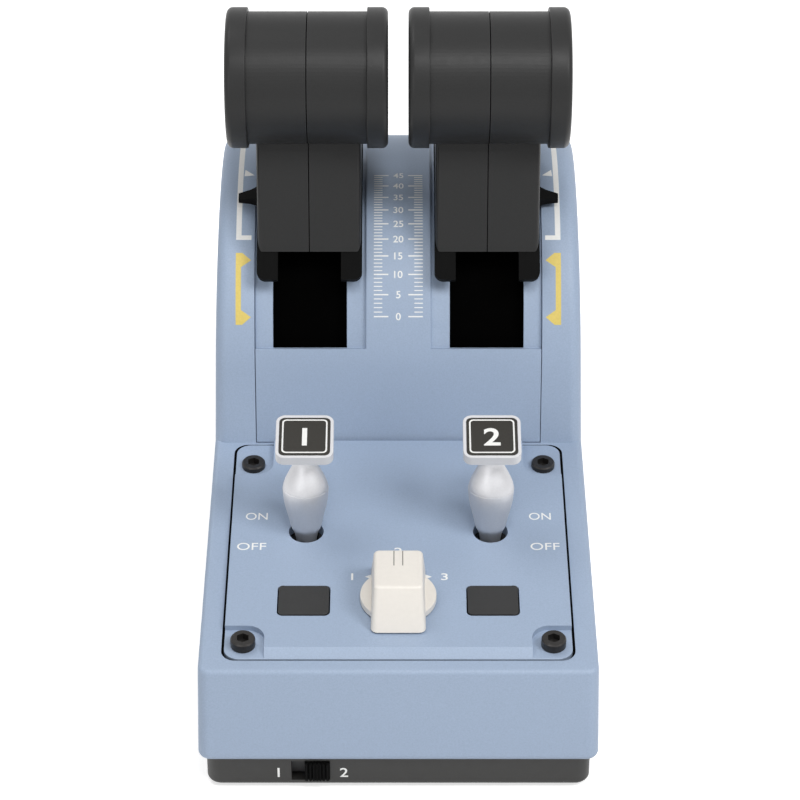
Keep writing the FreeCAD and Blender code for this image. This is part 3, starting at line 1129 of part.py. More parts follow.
under = "plate_rise + knob_gap"
knob = new_body("mode_knob")
s = deck_sketch(knob, "knob_disc_plan", under)
disc(s, "0", "knob_s", "knob_disc")
pad(knob, s, "knob_plate", "disc_thick")
loft = knob.newObject("PartDesign::AdditiveLoft", "knob_handle")
s = deck_sketch(knob, "handle_foot_plan", under)
rectangle(s, "-handle_wide / 2", "knob_s - handle_foot / 2", "handle_wide / 2", "knob_s + handle_foot / 2", "2.4")
top = deck_sketch(knob, "handle_top_plan", f"{under} + knob_tall")
rectangle(top, "-handle_wide / 2 + handle_taper", "knob_s - handle_top / 2", "handle_wide / 2 - handle_taper", "knob_s + handle_top / 2", "2.0")
loft.Profile = s
loft.Sections = [top]
loft.Ruled = True
s.Visibility = top.Visibility = False
knob.Tip = loft
doc.recompute()
soften(knob, "handle_top_edges", "1.4",
       lambda e: middle(e).z > val(f"deck_height + (knob_s - handle_top / 2) * {sn} + ({under} + knob_tall) * {cs}") - 0.4)
s = deck_sketch(knob, "shaft_plan", under)
disc(s, "0", "knob_s", "shaft_dia / 2")
pad(knob, s, "knob_shaft", "shaft_long", flip=True)
keep("mode_knob", knob)

# ---- push buttons ----------------------------------------------------------

def push_button(name, x):
    b = new_body(name)
    s = deck_sketch(b, name + "_plan", "-plate_sink - 1.2")
    rectangle(s, f"{x} - button_wide / 2", "button_s - button_deep / 2", f"{x} + button_wide / 2", "button_s + button_deep / 2", "button_round - 0.3")
    pad(b, s, name + "_cap", "plate_sink + 1.2 + plate_rise + button_proud")
    s = deck_sketch(b, name + "_flange_plan", "-plate_sink - 1.2")
    rectangle(s, f"{x} - button_wide / 2 - 1.2", "button_s - button_deep / 2 - 1.2", f"{x} + button_wide / 2 + 1.2", "button_s + button_deep / 2 + 1.2")
    pad(b, s, name + "_flange", "1")
    s = deck_sketch(b, name + "_post_plan", "-plate_sink - 1.2")
    disc(s, x, "button_s", "2")
    pad(b, s, name + "_post", "panel_board_low - board_thick - plate_sink - 1.2 - 4.6 - 1.4", flip=True)
    return b


keep("push_button_right", push_button("push_button_right", "control_x"))
keep("push_button_left", mirror("push_button_left", nodes["push_button_right"]))

# ---- slide switch knob -----------------------------------------------------

slider = new_body("slide_knob")
edge = "slide_x + slide_open / 2 - slider_gap"
s = sketch(slider, "slider_front", "XZ_Plane", "tray_half_y - tray_wall - 0.02")
rectangle(s, f"{edge} - slider_wide", "slide_low + slider_gap", edge, "tray_top - 1.4 - slider_gap")
pad(slider, s, "slider_block", "tray_wall + slider_proud - 0.02")
s = sketch(slider, "slider_groove_front", "XZ_Plane", "tray_half_y + slider_proud")
for i in range(5):
    rectangle(s, f"{edge} - slider_wide + 1.1 + {i} * 1.4", "slide_low - 1", f"{edge} - slider_wide + 1.1 + {i} * 1.4 + 0.6", "tray_top")
pocket(slider, s, "slider_grooves", "0.6")
keep("slide_knob", slider)

# ---- checks and files ------------------------------------------------------

doc.recompute()
for obj in doc.Objects:
    if "Invalid" in obj.State or "Error" in obj.State:
        raise RuntimeError(f"{obj.Name} failed: {obj.State}")
os.makedirs("parts", exist_ok=True)
for name, obj in nodes.items():
    shape = obj.Shape
    if shape.isNull() or not shape.isValid() or not shape.Solids:
        raise RuntimeError(f"{name} is not a valid solid")
    shape.exportStep(f"parts/{name}.step")
print(len(nodes), "nodes written")
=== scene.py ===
"""Dresses the throttle quadrant: finishes, printed marks, screws, and the studio it stands in."""
import json
import math

import bmesh
import bpy
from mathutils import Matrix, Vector


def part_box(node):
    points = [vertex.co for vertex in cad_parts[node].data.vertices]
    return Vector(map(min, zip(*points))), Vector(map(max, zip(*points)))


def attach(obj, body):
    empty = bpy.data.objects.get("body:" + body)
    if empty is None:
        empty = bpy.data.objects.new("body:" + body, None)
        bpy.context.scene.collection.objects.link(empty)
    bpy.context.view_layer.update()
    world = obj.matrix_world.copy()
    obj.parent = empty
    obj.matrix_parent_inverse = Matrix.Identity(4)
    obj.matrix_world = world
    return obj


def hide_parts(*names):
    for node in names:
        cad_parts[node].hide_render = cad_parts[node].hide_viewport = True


bl_info = {
    "name": "Throttle Quadrant",
    "version": (1, 0, 0),
    "blender": (4, 5, 0),
    "location": "View3D > Sidebar > Quadrant",
    "description": "Dresses a desk throttle quadrant for flight simulators",
    "category": "Add Mesh",
}

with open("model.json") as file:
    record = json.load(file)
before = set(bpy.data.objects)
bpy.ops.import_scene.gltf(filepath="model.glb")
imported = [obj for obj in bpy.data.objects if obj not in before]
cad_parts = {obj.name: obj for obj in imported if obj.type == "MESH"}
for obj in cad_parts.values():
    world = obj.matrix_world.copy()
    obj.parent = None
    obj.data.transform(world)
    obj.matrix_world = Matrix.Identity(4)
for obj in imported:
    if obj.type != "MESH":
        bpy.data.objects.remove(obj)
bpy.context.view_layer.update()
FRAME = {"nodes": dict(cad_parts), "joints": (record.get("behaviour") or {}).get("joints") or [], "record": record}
NODES = FRAME["nodes"]
JOINTS = {joint["name"]: joint for joint in FRAME["joints"]}
BODY_OF = {node: body for body, nodes in FRAME["record"]["behaviour"]["bodies"].items() for node in nodes}
SLOT_OF = {part["node"]: part["material_slot"] for part in FRAME["record"]["subparts"]}
SIDES = (("left", -1), ("right", 1))
MM = 0.001

# The lever axle, the arch and the deck, read from the frame.
AXLE = Vector(JOINTS["throttle_right_turn"]["pos_m"])
ARCH_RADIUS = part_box("arch_cover")[1].z - AXLE.z
DECK_UP = Vector(JOINTS["mode_turn"]["axis"]).normalized()
DECK_ALONG = Vector((0, DECK_UP.z, -DECK_UP.y))
KNOB_AT = Vector(JOINTS["mode_turn"]["pos_m"])
PLATE_TOP = -0.6 * MM
STEM_UP = Vector((0, 0.0684, 0.9977))

# How far a printed mark sits in the surface that it is on.
PRINT_SINK = 0.03 * MM

# The number of scale ticks, every how many one is long, and the cubic that spaces them, in degrees.
TICK_COUNT = 46
LONG_EVERY = 5
SCALE_CURVE = {1: 1.4203, 2: -0.01064, 3: 0.0000838}

# Radius and height of the toggle stem above its pivot, in mm.
STEM_PROFILE = (
    (1.6, -5.0), (2.2, -3.0), (3.1, 0.0), (3.8, 5.0), (4.1, 6.6), (4.5, 7.8), (5.1, 9.0), (5.5, 10.2),
    (5.85, 12.0), (6.4, 14.4), (7.0, 16.9), (7.4, 18.6), (7.8, 20.8), (8.02, 23.2), (8.1, 25.0),
    (8.06, 25.35), (7.94, 25.4), (7.94, 25.5), (7.8, 26.6), (7.2, 28.4), (6.35, 30.3), (5.4, 32.2),
    (4.5, 34.0), (3.6, 35.8), (3.6, 44.15))

# Rounding of each piece's edges, in mm. A piece that isn't here takes the Edge round size.
ROUNDING = {
    "housing_shell": 0.4, "arch_cover": 0.3, "control_plate": 0.45, "rubber_feet": 0.4, "grip_inner": 0.28,
    "grip_outer": 0.28, "end_cap_inner": 0.3, "end_cap_outer": 0.3, "slot_skirt": 0.4,
    "disconnect_button": 0.5, "reverser": 0.6, "toggle_cap": 0.55, "toggle_label": 0.25, "mode_knob": 0.9,
    "push_button": 0.5, "slide_knob": 0.15}

# Edges that bend by more than this, in degrees, stay sharp.
SHARP = 32.0
SCREW_SHARP = 28.0
STEM_SHARP = 40.0


def on_arch(x, angle, radius):
    """A point at an angle, in degrees up from the front, about the lever axle."""
    turn = math.radians(angle)
    return Vector((x, AXLE.y - radius * math.cos(turn), AXLE.z + radius * math.sin(turn)))


def on_deck(x, along, up):
    """A point from the knob's axis: across, along the deck to the back, and above the knob's underside."""
    return KNOB_AT + Vector((x, 0, 0)) + DECK_ALONG * along + DECK_UP * up


# ---- sizes and colours ----------------------------------------------------

def length(name, about, default):
    return bpy.props.FloatProperty(name=name, description=about, default=default * MM, unit="LENGTH",
                                   subtype="DISTANCE", precision=5)


def angle(name, about, default):
    return bpy.props.FloatProperty(name=name, description=about, default=math.radians(default),
                                   unit="ROTATION", subtype="ANGLE", precision=5)


def colour(name, about, red, green, blue):
    """A colour, written as it looks on a screen."""
    linear = [c / 12.92 if c <= 0.04045 else ((c + 0.055) / 1.055) ** 2.4 for c in (red, green, blue)]
    return bpy.props.FloatVectorProperty(name=name, description=about, default=linear, subtype="COLOR",
                                         size=3, min=0, max=1)


class QuadrantSizes(bpy.types.PropertyGroup):
    edge_round: length("Edge round", "Rounding of moulded edges", 0.35)
    print_thick: length("Print", "Thickness of printed marks", 0.05)
    digit_tall: length("Scale digits", "Height of the digits on the arch", 2.7)
    tick_outer: length("Tick outer end", "Outer end of the scale ticks from the middle", 8.9)
    tick_long: length("Long tick", "Length of every fifth tick", 5.3)
    tick_short: length("Short tick", "Length of the other ticks", 3.1)
    tick_wide: length("Tick width", "Width of the long ticks", 0.5)
    bracket_x: length("Bracket", "Outer edge of the brackets from the middle", 59.05)
    bracket_wide: length("Bracket bar", "Width of the bracket bars", 1.95)
    bracket_reach: length("Bracket reach", "How far feet and arrows reach inwards", 5.6)
    word_inner: length("Word edge", "Inner edge of ON and OFF from the middle", 46.4)
    word_tall: length("Words", "Height of ON and OFF", 3.85)
    head_radius: length("Screw head", "Radius of the plate screw heads", 4.25)
    head_tall: length("Screw head height", "Height of the plate screw heads", 3.55)


class QuadrantAngles(bpy.types.PropertyGroup):
    scale_first: angle("Scale zero", "Angle of the zero tick", 29.44)
    yellow_low: angle("Yellow low", "Lower end of the yellow brackets", 26.85)
    yellow_high: angle("Yellow high", "Upper end of the yellow brackets", 49.64)
    white_low: angle("White low", "Lower end of the white brackets", 53.99)
    white_high: angle("White high", "Upper end of the white brackets", 99.4)
    white_mark: angle("White mark", "Triangle beside the white brackets", 79.6)


class QuadrantColours(bpy.types.PropertyGroup):
    housing: colour("Housing", "Speckled blue-grey plastic", 0.604, 0.668, 0.757)
    grip: colour("Grip", "Black plastic of the grips", 0.165, 0.165, 0.165)
    black: colour("Black", "Black plastic of the tray", 0.125, 0.122, 0.115)
    button: colour("Button", "Dark grey of the push buttons", 0.17, 0.17, 0.17)
    knob: colour("Knob", "Cream plastic of the mode knob", 0.905, 0.885, 0.855)
    cap: colour("Cap", "White plastic of the toggle caps", 0.85, 0.85, 0.86)
    label: colour("Label", "Dark plate in the toggle caps", 0.185, 0.177, 0.162)
    silver: colour("Silver", "Turned metal of the toggle stems", 0.80, 0.80, 0.81)
    white_print: colour("White print", "White marks", 0.93, 0.93, 0.92)
    yellow_print: colour("Yellow print", "Yellow marks", 0.86, 0.77, 0.41)
    red: colour("Disconnect", "Thumb buttons in the grips", 0.62, 0.10, 0.08)


def sizes():
    return bpy.context.scene.quadrant_sizes


def angles():
    """The angles by name, in degrees."""
    group = bpy.context.scene.quadrant_angles
    return {name: math.degrees(getattr(group, name)) for name in QuadrantAngles.__annotations__}


def colours():
    return bpy.context.scene.quadrant_colours


# ---- finishes -------------------------------------------------------------

def finish(name, shade, rough, metal=0.0, speckle=0.03, speckle_size=0.8, grain=0.04, grain_size=0.35,
           coat=0.0, specular=0.5):
    """A finish with a fine variation of shade and gloss, and a moulded or blasted grain. Sizes are in mm."""
    material = bpy.data.materials.new(name)
    material.use_nodes = True
    nodes, links = material.node_tree.nodes, material.node_tree.links
    shader = nodes["Principled BSDF"]
    shader.inputs["Metallic"].default_value = metal
    shader.inputs["Coat Weight"].default_value = coat
    shader.inputs["Specular IOR Level"].default_value = specular
    place = nodes.new("ShaderNodeTexCoord").outputs["Object"]

    def noise(size, detail):
        node = nodes.new("ShaderNodeTexNoise")
        node.inputs["Scale"].default_value = 1 / (size * MM)
        node.inputs["Detail"].default_value = detail
        links.new(place, node.inputs["Vector"])
        return node.outputs["Fac"]

    fleck_low, fleck_high, gloss_swing, gloss_size = 0.3, 0.7, 0.06, speckle_size * 6
    fleck = noise(speckle_size, 2)
    spread = nodes.new("ShaderNodeMapRange")
    spread.inputs["From Min"].default_value = fleck_low
    spread.inputs["From Max"].default_value = fleck_high
    links.new(fleck, spread.inputs["Value"])
    mix = nodes.new("ShaderNodeMix")
    mix.data_type = "RGBA"
    mix.inputs["A"].default_value = [c * (1 - speckle) for c in shade] + [1]
    mix.inputs["B"].default_value = [min(1, c * (1 + speckle)) for c in shade] + [1]
    links.new(spread.outputs["Result"], mix.inputs["Factor"])
    links.new(mix.outputs["Result"], shader.inputs["Base Color"])
    gloss = nodes.new("ShaderNodeMapRange")
    gloss.inputs["To Min"].default_value = max(0.0, rough - gloss_swing)
    gloss.inputs["To Max"].default_value = min(1.0, rough + gloss_swing)
    links.new(noise(gloss_size, 3), gloss.inputs["Value"])
    links.new(gloss.outputs["Result"], shader.inputs["Roughness"])
    bump = nodes.new("ShaderNodeBump")
    bump.inputs["Strength"].default_value = 0.6
    bump.inputs["Distance"].default_value = grain * MM
    links.new(noise(grain_size, 4), bump.inputs["Height"])
    links.new(bump.outputs["Normal"], shader.inputs["Normal"])
    return material


def turned(name, shade, rough, ring):
    """Turned metal, its fine rings square to the ring direction."""
    material = finish(name, shade, rough, metal=0.85, speckle=0.02, grain=0.004, grain_size=0.5)
    nodes, links = material.node_tree.nodes, material.node_tree.links
    shader = nodes["Principled BSDF"]
    shader.inputs["Anisotropic"].default_value = 0.4
    place = nodes.new("ShaderNodeTexCoord").outputs["Object"]
    dot = nodes.new("ShaderNodeVectorMath")
    dot.operation = "DOT_PRODUCT"
    dot.inputs[1].default_value = ring
    links.new(place, dot.inputs[0])
    line = nodes.new("ShaderNodeTexNoise")
    line.noise_dimensions = "1D"
    line.inputs["Scale"].default_value = 1 / (0.35 * MM)
    line.inputs["Detail"].default_value = 3
    links.new(dot.outputs["Value"], line.inputs["W"])
    bump = nodes.new("ShaderNodeBump")
    bump.inputs["Strength"].default_value = 0.35
    bump.inputs["Distance"].default_value = 0.02 * MM
    links.new(line.outputs["Fac"], bump.inputs["Height"])
    links.new(bump.outputs["Normal"], shader.inputs["Normal"])
    return material


FINISHES = {}


def finish_of(name):
    """The finish of a name, made when first asked for."""
    shade = colours()
    makers = {
        "housing": lambda: finish("housing_blue", shade.housing, 0.52, speckle=0.05, speckle_size=0.55,
                                  grain=0.05, grain_size=0.45),
        "grip": lambda: finish("grip_black", shade.grip, 0.4, speckle=0.05, speckle_size=0.5, grain=0.03,
                               grain_size=0.3, specular=0.2),
        # Skirt finish: black plastic darkened to 0.15 of the grip black. It is painted shade on the slot skirts
        # and in the plate's seat, and the plain dark black of the slide knob and its ribs.
        "skirt": lambda: finish("skirt_black", [c * 0.15 for c in shade.grip], 0.6, speckle=0.08, grain=0.02,
                                specular=0.05),
        "black": lambda: finish("moulded_black", shade.black, 0.5, speckle=0.06, speckle_size=0.6,
                                grain=0.04),
        # Shield finish: all but black and hardly reflecting, painted shade in the lever slots.
        "dark": lambda: finish("arm_painted_shade", [c * 0.03 for c in shade.black], 0.9, speckle=0.1, grain=0.02,
                               specular=0.02),
        "button": lambda: finish("button_grey", shade.button, 0.55, speckle=0.04, grain=0.03, specular=0.35),
        "knob": lambda: finish("knob_cream", shade.knob, 0.42, speckle=0.012, speckle_size=1.5, grain=0.015),
        "cap": lambda: finish("cap_white", shade.cap, 0.38, speckle=0.01, grain=0.01),
        "label": lambda: finish("label_dark", shade.label, 0.5, speckle=0.05, grain=0.02, specular=0.3),
        "white_print": lambda: finish("print_white", shade.white_print, 0.6, speckle=0.02, grain=0.01),
        "yellow_print": lambda: finish("print_yellow", shade.yellow_print, 0.6, speckle=0.04, grain=0.01),
        "red": lambda: finish("disconnect_red", shade.red, 0.35, speckle=0.04, grain=0.01),
        "rubber": lambda: finish("foot_rubber", (0.02, 0.02, 0.02), 0.85, speckle=0.15, grain=0.05),
        "screw": lambda: finish("screw_black", (0.03, 0.028, 0.027), 0.36, metal=0.5, speckle=0.1,
                                 grain=0.01),
        "zinc": lambda: finish("zinc_steel", (0.52, 0.52, 0.50), 0.36, metal=1.0, speckle=0.08,
                               speckle_size=2.5, grain=0.01),
        "bush": lambda: finish("bush_natural", (0.66, 0.62, 0.52), 0.5, speckle=0.03),
        "magnet": lambda: finish("magnet_dark", (0.06, 0.06, 0.065), 0.45, metal=0.3, speckle=0.1),
        "board": lambda: finish("board_green", (0.015, 0.11, 0.045), 0.35, speckle=0.12, speckle_size=1.2,
                                coat=0.4),
        "switch": lambda: finish("switch_black", (0.025, 0.025, 0.027), 0.5, speckle=0.08),
        # Dark grey lines: painted shade of engraved lines on the mode knob.
        "groove": lambda: finish("engraving_painted_shade", (0.22, 0.21, 0.195), 0.7, speckle=0.05),
    }
    if name not in FINISHES:
        FINISHES[name] = makers[name]()
    return FINISHES[name]


# ---- meshes ---------------------------------------------------------------

def baked(thing):
    """The mesh of an object with its modifiers made real; the object is removed."""
    bpy.context.view_layer.update()
    graph = bpy.context.evaluated_depsgraph_get()
    mesh = bpy.data.meshes.new_from_object(thing.evaluated_get(graph), depsgraph=graph)
    bpy.data.objects.remove(thing)
    return mesh


def loose_object(name, mesh):
    thing = bpy.data.objects.new(name, mesh)
    bpy.context.scene.collection.objects.link(thing)
    return thing


def rounded(mesh, round_by):
    """Rounds the sharp edges of a mesh and smooths the rest."""
    mesh.shade_smooth()
    mesh.set_sharp_from_angle(angle=math.radians(SHARP))
    thing = loose_object("rounding", mesh)
    bevel = thing.modifiers.new("edges", "BEVEL")
    bevel.width = round_by
    bevel.segments = 2
    bevel.limit_method = "ANGLE"
    bevel.angle_limit = math.radians(SHARP)
    bevel.harden_normals = True
    return baked(thing)


def add_piece(name, mesh, body, slot, material, *replaced):
    """A finished piece that rides on a body and stands for the nodes it replaces."""
    mesh.materials.clear()
    mesh.materials.append(material)
    piece = loose_object(name, mesh)
    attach(piece, body)
    if replaced:
        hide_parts(*replaced)
    return piece


def merged_copy(node):
    """A node's shape with its triangles merged, to be changed freely."""
    form = bmesh.new()
    form.from_mesh(NODES[node].data)
    bmesh.ops.remove_doubles(form, verts=form.verts, dist=1e-6)
    bmesh.ops.dissolve_limit(form, angle_limit=math.radians(0.5), verts=form.verts, edges=form.edges)
    return form


def as_mesh(form, name):
    mesh = bpy.data.meshes.new(name)
    form.to_mesh(mesh)
    form.free()
    return mesh


def dress(node, material):
    """The node's own shape with its edges rounded, in a finer finish."""
    kind = node.removesuffix("_left").removesuffix("_right")
    round_by = ROUNDING[kind] * MM if kind in ROUNDING else sizes().edge_round
    mesh = rounded(as_mesh(merged_copy(node), node), round_by)
    return add_piece(f"{node}_finished", mesh, BODY_OF[node], SLOT_OF[node], finish_of(material), node)


def refinish(node, material):
    """Keeps the node and gives it a finer finish."""
    for slot in NODES[node].material_slots:
        slot.material = finish_of(material)


def slab(outlines, thick, slice_every=None):
    """Flat outlines in x and y made into closed slabs, cut across y so that they can be bent."""
    form = bmesh.new()
    for outline in outlines:
        form.faces.new([form.verts.new((x, y, 0)) for x, y in outline])
    if slice_every:
        low = min(v.co.y for v in form.verts)
        high = max(v.co.y for v in form.verts)
        for i in range(1, int((high - low) / slice_every) + 1):
            every = list(form.verts) + list(form.edges) + list(form.faces)
            bmesh.ops.bisect_plane(form, geom=every, plane_co=(0, low + i * slice_every, 0),
                                   plane_no=(0, 1, 0))
    bmesh.ops.triangulate(form, faces=[f for f in form.faces if len(f.verts) > 4])
    top = bmesh.ops.extrude_face_region(form, geom=list(form.faces))["geom"]
    for vert in (v for v in top if isinstance(v, bmesh.types.BMVert)):
        vert.co.z += thick
    bmesh.ops.recalc_face_normals(form, faces=form.faces)
    return form


def lettering(words, tall, thick, stretch=1.0, weight=0.0):
    """Words as a closed slab, centred, with capitals of the height given."""
    curve = bpy.data.curves.new(words, "FONT")
    curve.body = words
    curve.align_x = "CENTER"
    curve.align_y = "CENTER"
    curve.size = 1
    curve.extrude = 0.01
    curve.offset = weight
    mesh = baked(loose_object(words, curve))
    form = bmesh.new()
    form.from_mesh(mesh)
    bmesh.ops.remove_doubles(form, verts=form.verts, dist=1e-5)
    high = [v.co.y for v in form.verts]
    across = [v.co.x for v in form.verts]
    scale = tall / (max(high) - min(high))
    for vert in form.verts:
        vert.co.x = (vert.co.x - (max(across) + min(across)) / 2) * scale * stretch
        vert.co.y = (vert.co.y - (max(high) + min(high)) / 2) * scale
        vert.co.z = thick if vert.co.z > 0 else 0
    return form


def joined(forms):
    """Several forms as one."""
    whole = bmesh.new()
    for form in forms:
        part = bpy.data.meshes.new("part")
        form.to_mesh(part)
        form.free()
        whole.from_mesh(part)
        bpy.data.meshes.remove(part)
    return whole


def bend_on_arch(form, at=0.0):
    """Lays a flat slab on the arch: its y runs up the arch from an angle, in degrees."""
    for vert in form.verts:
        turn = at + math.degrees(vert.co.y / ARCH_RADIUS)
        vert.co = on_arch(vert.co.x, turn, ARCH_RADIUS + vert.co.z - PRINT_SINK)
    return form


def lay_on_deck(form, x, along):
    """Lays a flat slab on top of the control plate."""
    for vert in form.verts:
        vert.co = on_deck(vert.co.x + x, along + vert.co.y, PLATE_TOP - PRINT_SINK + vert.co.z)
    return form


# ---- geometry node trees --------------------------------------------------

class Tree:
    """A geometry node tree with named inputs, ending in one realised mesh with a finish."""

    def __init__(self, name):
        self.group = bpy.data.node_groups.new(name, "GeometryNodeTree")
        self.group.interface.new_socket("Geometry", in_out="OUTPUT", socket_type="NodeSocketGeometry")
        self.settings = {}
        self.start = self.group.nodes.new("NodeGroupInput")
        self.end = self.group.nodes.new("NodeGroupOutput")

    def value(self, name, amount, kind="Float"):
        socket = self.group.interface.new_socket(name, in_out="INPUT", socket_type=f"NodeSocket{kind}")
        self.settings[socket.identifier] = amount
        return self.start.outputs[name]

    def add(self, kind, inputs=None, **options):
        node = self.group.nodes.new(kind)
        for option, setting in options.items():
            setattr(node, option, setting)
        for key, given in (inputs or {}).items():
            if isinstance(given, bpy.types.NodeSocket):
                self.group.links.new(given, node.inputs[key])
            else:
                node.inputs[key].default_value = given
        return node

    def sum(self, operation, *given):
        node = self.add("ShaderNodeMath", operation=operation)
        for i, amount in enumerate(given):
            if isinstance(amount, bpy.types.NodeSocket):
                self.group.links.new(amount, node.inputs[i])
            else:
                node.inputs[i].default_value = amount
        return node.outputs[0]

    def vector(self, x, y, z):
        return self.add("ShaderNodeCombineXYZ", {"X": x, "Y": y, "Z": z}).outputs[0]

    def grow(self, name, geometry, material):
        """Runs the tree on an empty object and returns the mesh."""
        real = self.add("GeometryNodeRealizeInstances", {"Geometry": geometry})
        coat = self.add("GeometryNodeSetMaterial", {"Geometry": real.outputs[0], "Material": material})
        self.group.links.new(coat.outputs[0], self.end.inputs[0])
        thing = loose_object(name, bpy.data.meshes.new(name))
        modifier = thing.modifiers.new("grow", "NODES")
        modifier.node_group = self.group
        for identifier, amount in self.settings.items():
            modifier[identifier] = amount
        return baked(thing)


def scale_tick_mesh():
    """The ticks of both scales: the angle of a tick is a cubic of its number."""
    tree = Tree("scale_ticks")
    size = sizes()
    radius = tree.value("Radius", ARCH_RADIUS)
    first = tree.value("First angle", math.radians(angles()["scale_first"]))
    count = tree.value("Count", TICK_COUNT, "Int")
    outer = tree.value("Outer end", size.tick_outer)
    long, short = tree.value("Long", size.tick_long), tree.value("Short", size.tick_short)
    wide = tree.value("Width", size.tick_wide)
    thick = tree.value("Thickness", size.print_thick * 2)
    number = tree.add("GeometryNodeInputIndex").outputs[0]
    line = tree.add("GeometryNodeMeshLine", {"Count": count, "Offset": (0, 0, 0)})
    turn = first
    for power, factor in SCALE_CURVE.items():
        part = tree.sum("MULTIPLY", tree.sum("POWER", number, float(power)), math.radians(factor))
        turn = tree.sum("ADD", turn, part)
    fifth = tree.sum("LESS_THAN", tree.sum("MODULO", number, float(LONG_EVERY)), 0.5)
    reach = tree.sum("ADD", short, tree.sum("MULTIPLY", fifth, tree.sum("SUBTRACT", long, short)))
    short_width = 0.72
    more = tree.sum("MULTIPLY", fifth, 1 - short_width)
    width = tree.sum("MULTIPLY", wide, tree.sum("ADD", short_width, more))
    y = tree.sum("SUBTRACT", AXLE.y, tree.sum("MULTIPLY", radius, tree.sum("COSINE", turn)))
    z = tree.sum("ADD", AXLE.z, tree.sum("MULTIPLY", radius, tree.sum("SINE", turn)))
    middle = tree.sum("SUBTRACT", outer, tree.sum("MULTIPLY", reach, 0.5))
    lean = tree.vector(tree.sum("SUBTRACT", math.pi / 2, turn), 0.0, 0.0)
    block = tree.add("GeometryNodeMeshCube", {"Size": (1, 1, 1)})
    sides = tree.add("GeometryNodeJoinGeometry")
    for side in (-1.0, 1.0):
        place = tree.vector(tree.sum("MULTIPLY", middle, side), y, z)
        put = tree.add("GeometryNodeSetPosition", {"Geometry": line.outputs[0], "Position": place})
        ticks = tree.add("GeometryNodeInstanceOnPoints", {
            "Points": put.outputs[0], "Instance": block.outputs[0], "Rotation": lean,
            "Scale": tree.vector(reach, width, thick)})
        tree.group.links.new(ticks.outputs[0], sides.inputs[0])
    return tree.grow("scale_ticks", sides.outputs[0], finish_of("white_print"))


def scale_angle(number):
    """The angle of a tick, in degrees."""
    return angles()["scale_first"] + sum(factor * number ** power for power, factor in SCALE_CURVE.items())


def screw_mesh(places, up, radius, tall, key):
    """Socket-head screws: a turned head with a knurled side and a hexagon socket, key to its corners."""
    head = bmesh.new()
    steps = 48
    knurl_depth = 0.018
    side_low, side_high, socket_floor = tall * 0.08, tall * 0.86, tall * 0.35
    foot, crown, mouth = radius * 0.93, radius * 0.9, key * 1.25
    rings = []
    for r, z in ((foot, 0), (radius, side_low), (radius, side_high), (crown, tall), (mouth, tall)):
        ring = []
        for i in range(steps):
            turn = 2 * math.pi * i / steps
            knurl = 1 - knurl_depth * (i % 2) if r == radius else 1
            ring.append(head.verts.new((r * knurl * math.cos(turn), r * knurl * math.sin(turn), z)))
        rings.append(ring)
    for z in (tall, socket_floor):
        ring = []
        for i in range(steps):
            turn = 2 * math.pi * i / steps
            part = (turn + math.pi / 6) % (math.pi / 3) - math.pi / 6
            r = key * math.cos(math.pi / 6) / math.cos(part)
            ring.append(head.verts.new((r * math.cos(turn), r * math.sin(turn), z)))
        rings.append(ring)
    for low, high in zip(rings, rings[1:]):
        for i in range(steps):
            j = (i + 1) % steps
            head.faces.new((low[i], low[j], high[j], high[i]))
    head.faces.new(rings[0][::-1])
    head.faces.new(rings[-1])
    bmesh.ops.recalc_face_normals(head, faces=head.faces)
    one = loose_object("one_screw", as_mesh(head, "one_screw"))
    spots = bpy.data.meshes.new("screw_places")
    spots.from_pydata(places, [], [])
    spot_object = loose_object("screw_places", spots)
    tree = Tree("plate_screws")
    points = tree.add("GeometryNodeObjectInfo", {"Object": tree.value("Places", spot_object, "Object")})
    screw = tree.add("GeometryNodeObjectInfo", {"Object": tree.value("Screw", one, "Object")})
    lean = tree.value("Lean", -math.atan2(up.y, up.z))
    put = tree.add("GeometryNodeInstanceOnPoints", {
        "Points": points.outputs["Geometry"], "Instance": screw.outputs["Geometry"],
        "Rotation": tree.vector(lean, 0.0, 0.0)})
    mesh = tree.grow("plate_screws", put.outputs[0], finish_of("screw"))
    for thing in (one, spot_object):
        bpy.data.objects.remove(thing)
    mesh.shade_smooth()
    mesh.set_sharp_from_angle(angle=math.radians(SCREW_SHARP))
    return mesh


def rib_mesh(low, high, count, wide, deep):
    """Upright ribs across the slider's front."""
    tree = Tree("slider_ribs")
    number = tree.value("Count", count, "Int")
    first = tree.value("First", low.x + wide)
    step = tree.value("Step", (high.x - low.x - 2 * wide) / (count - 1))
    line = tree.add("GeometryNodeMeshLine", {
        "Count": number, "Start Location": tree.vector(first, low.y, (low.z + high.z) / 2),
        "Offset": tree.vector(step, 0.0, 0.0)})
    tall = (high.z - low.z) * 0.94
    rib = tree.add("GeometryNodeMeshCylinder", {"Vertices": 12, "Radius": wide / 2, "Depth": tall})
    put = tree.add("GeometryNodeInstanceOnPoints", {
        "Points": line.outputs[0], "Instance": rib.outputs["Mesh"],
        "Scale": tree.vector(1.0, deep / wide * 2, 1.0)})
    return tree.grow("slider_ribs", put.outputs[0], finish_of("skirt"))


# ---- pieces ---------------------------------------------------------------

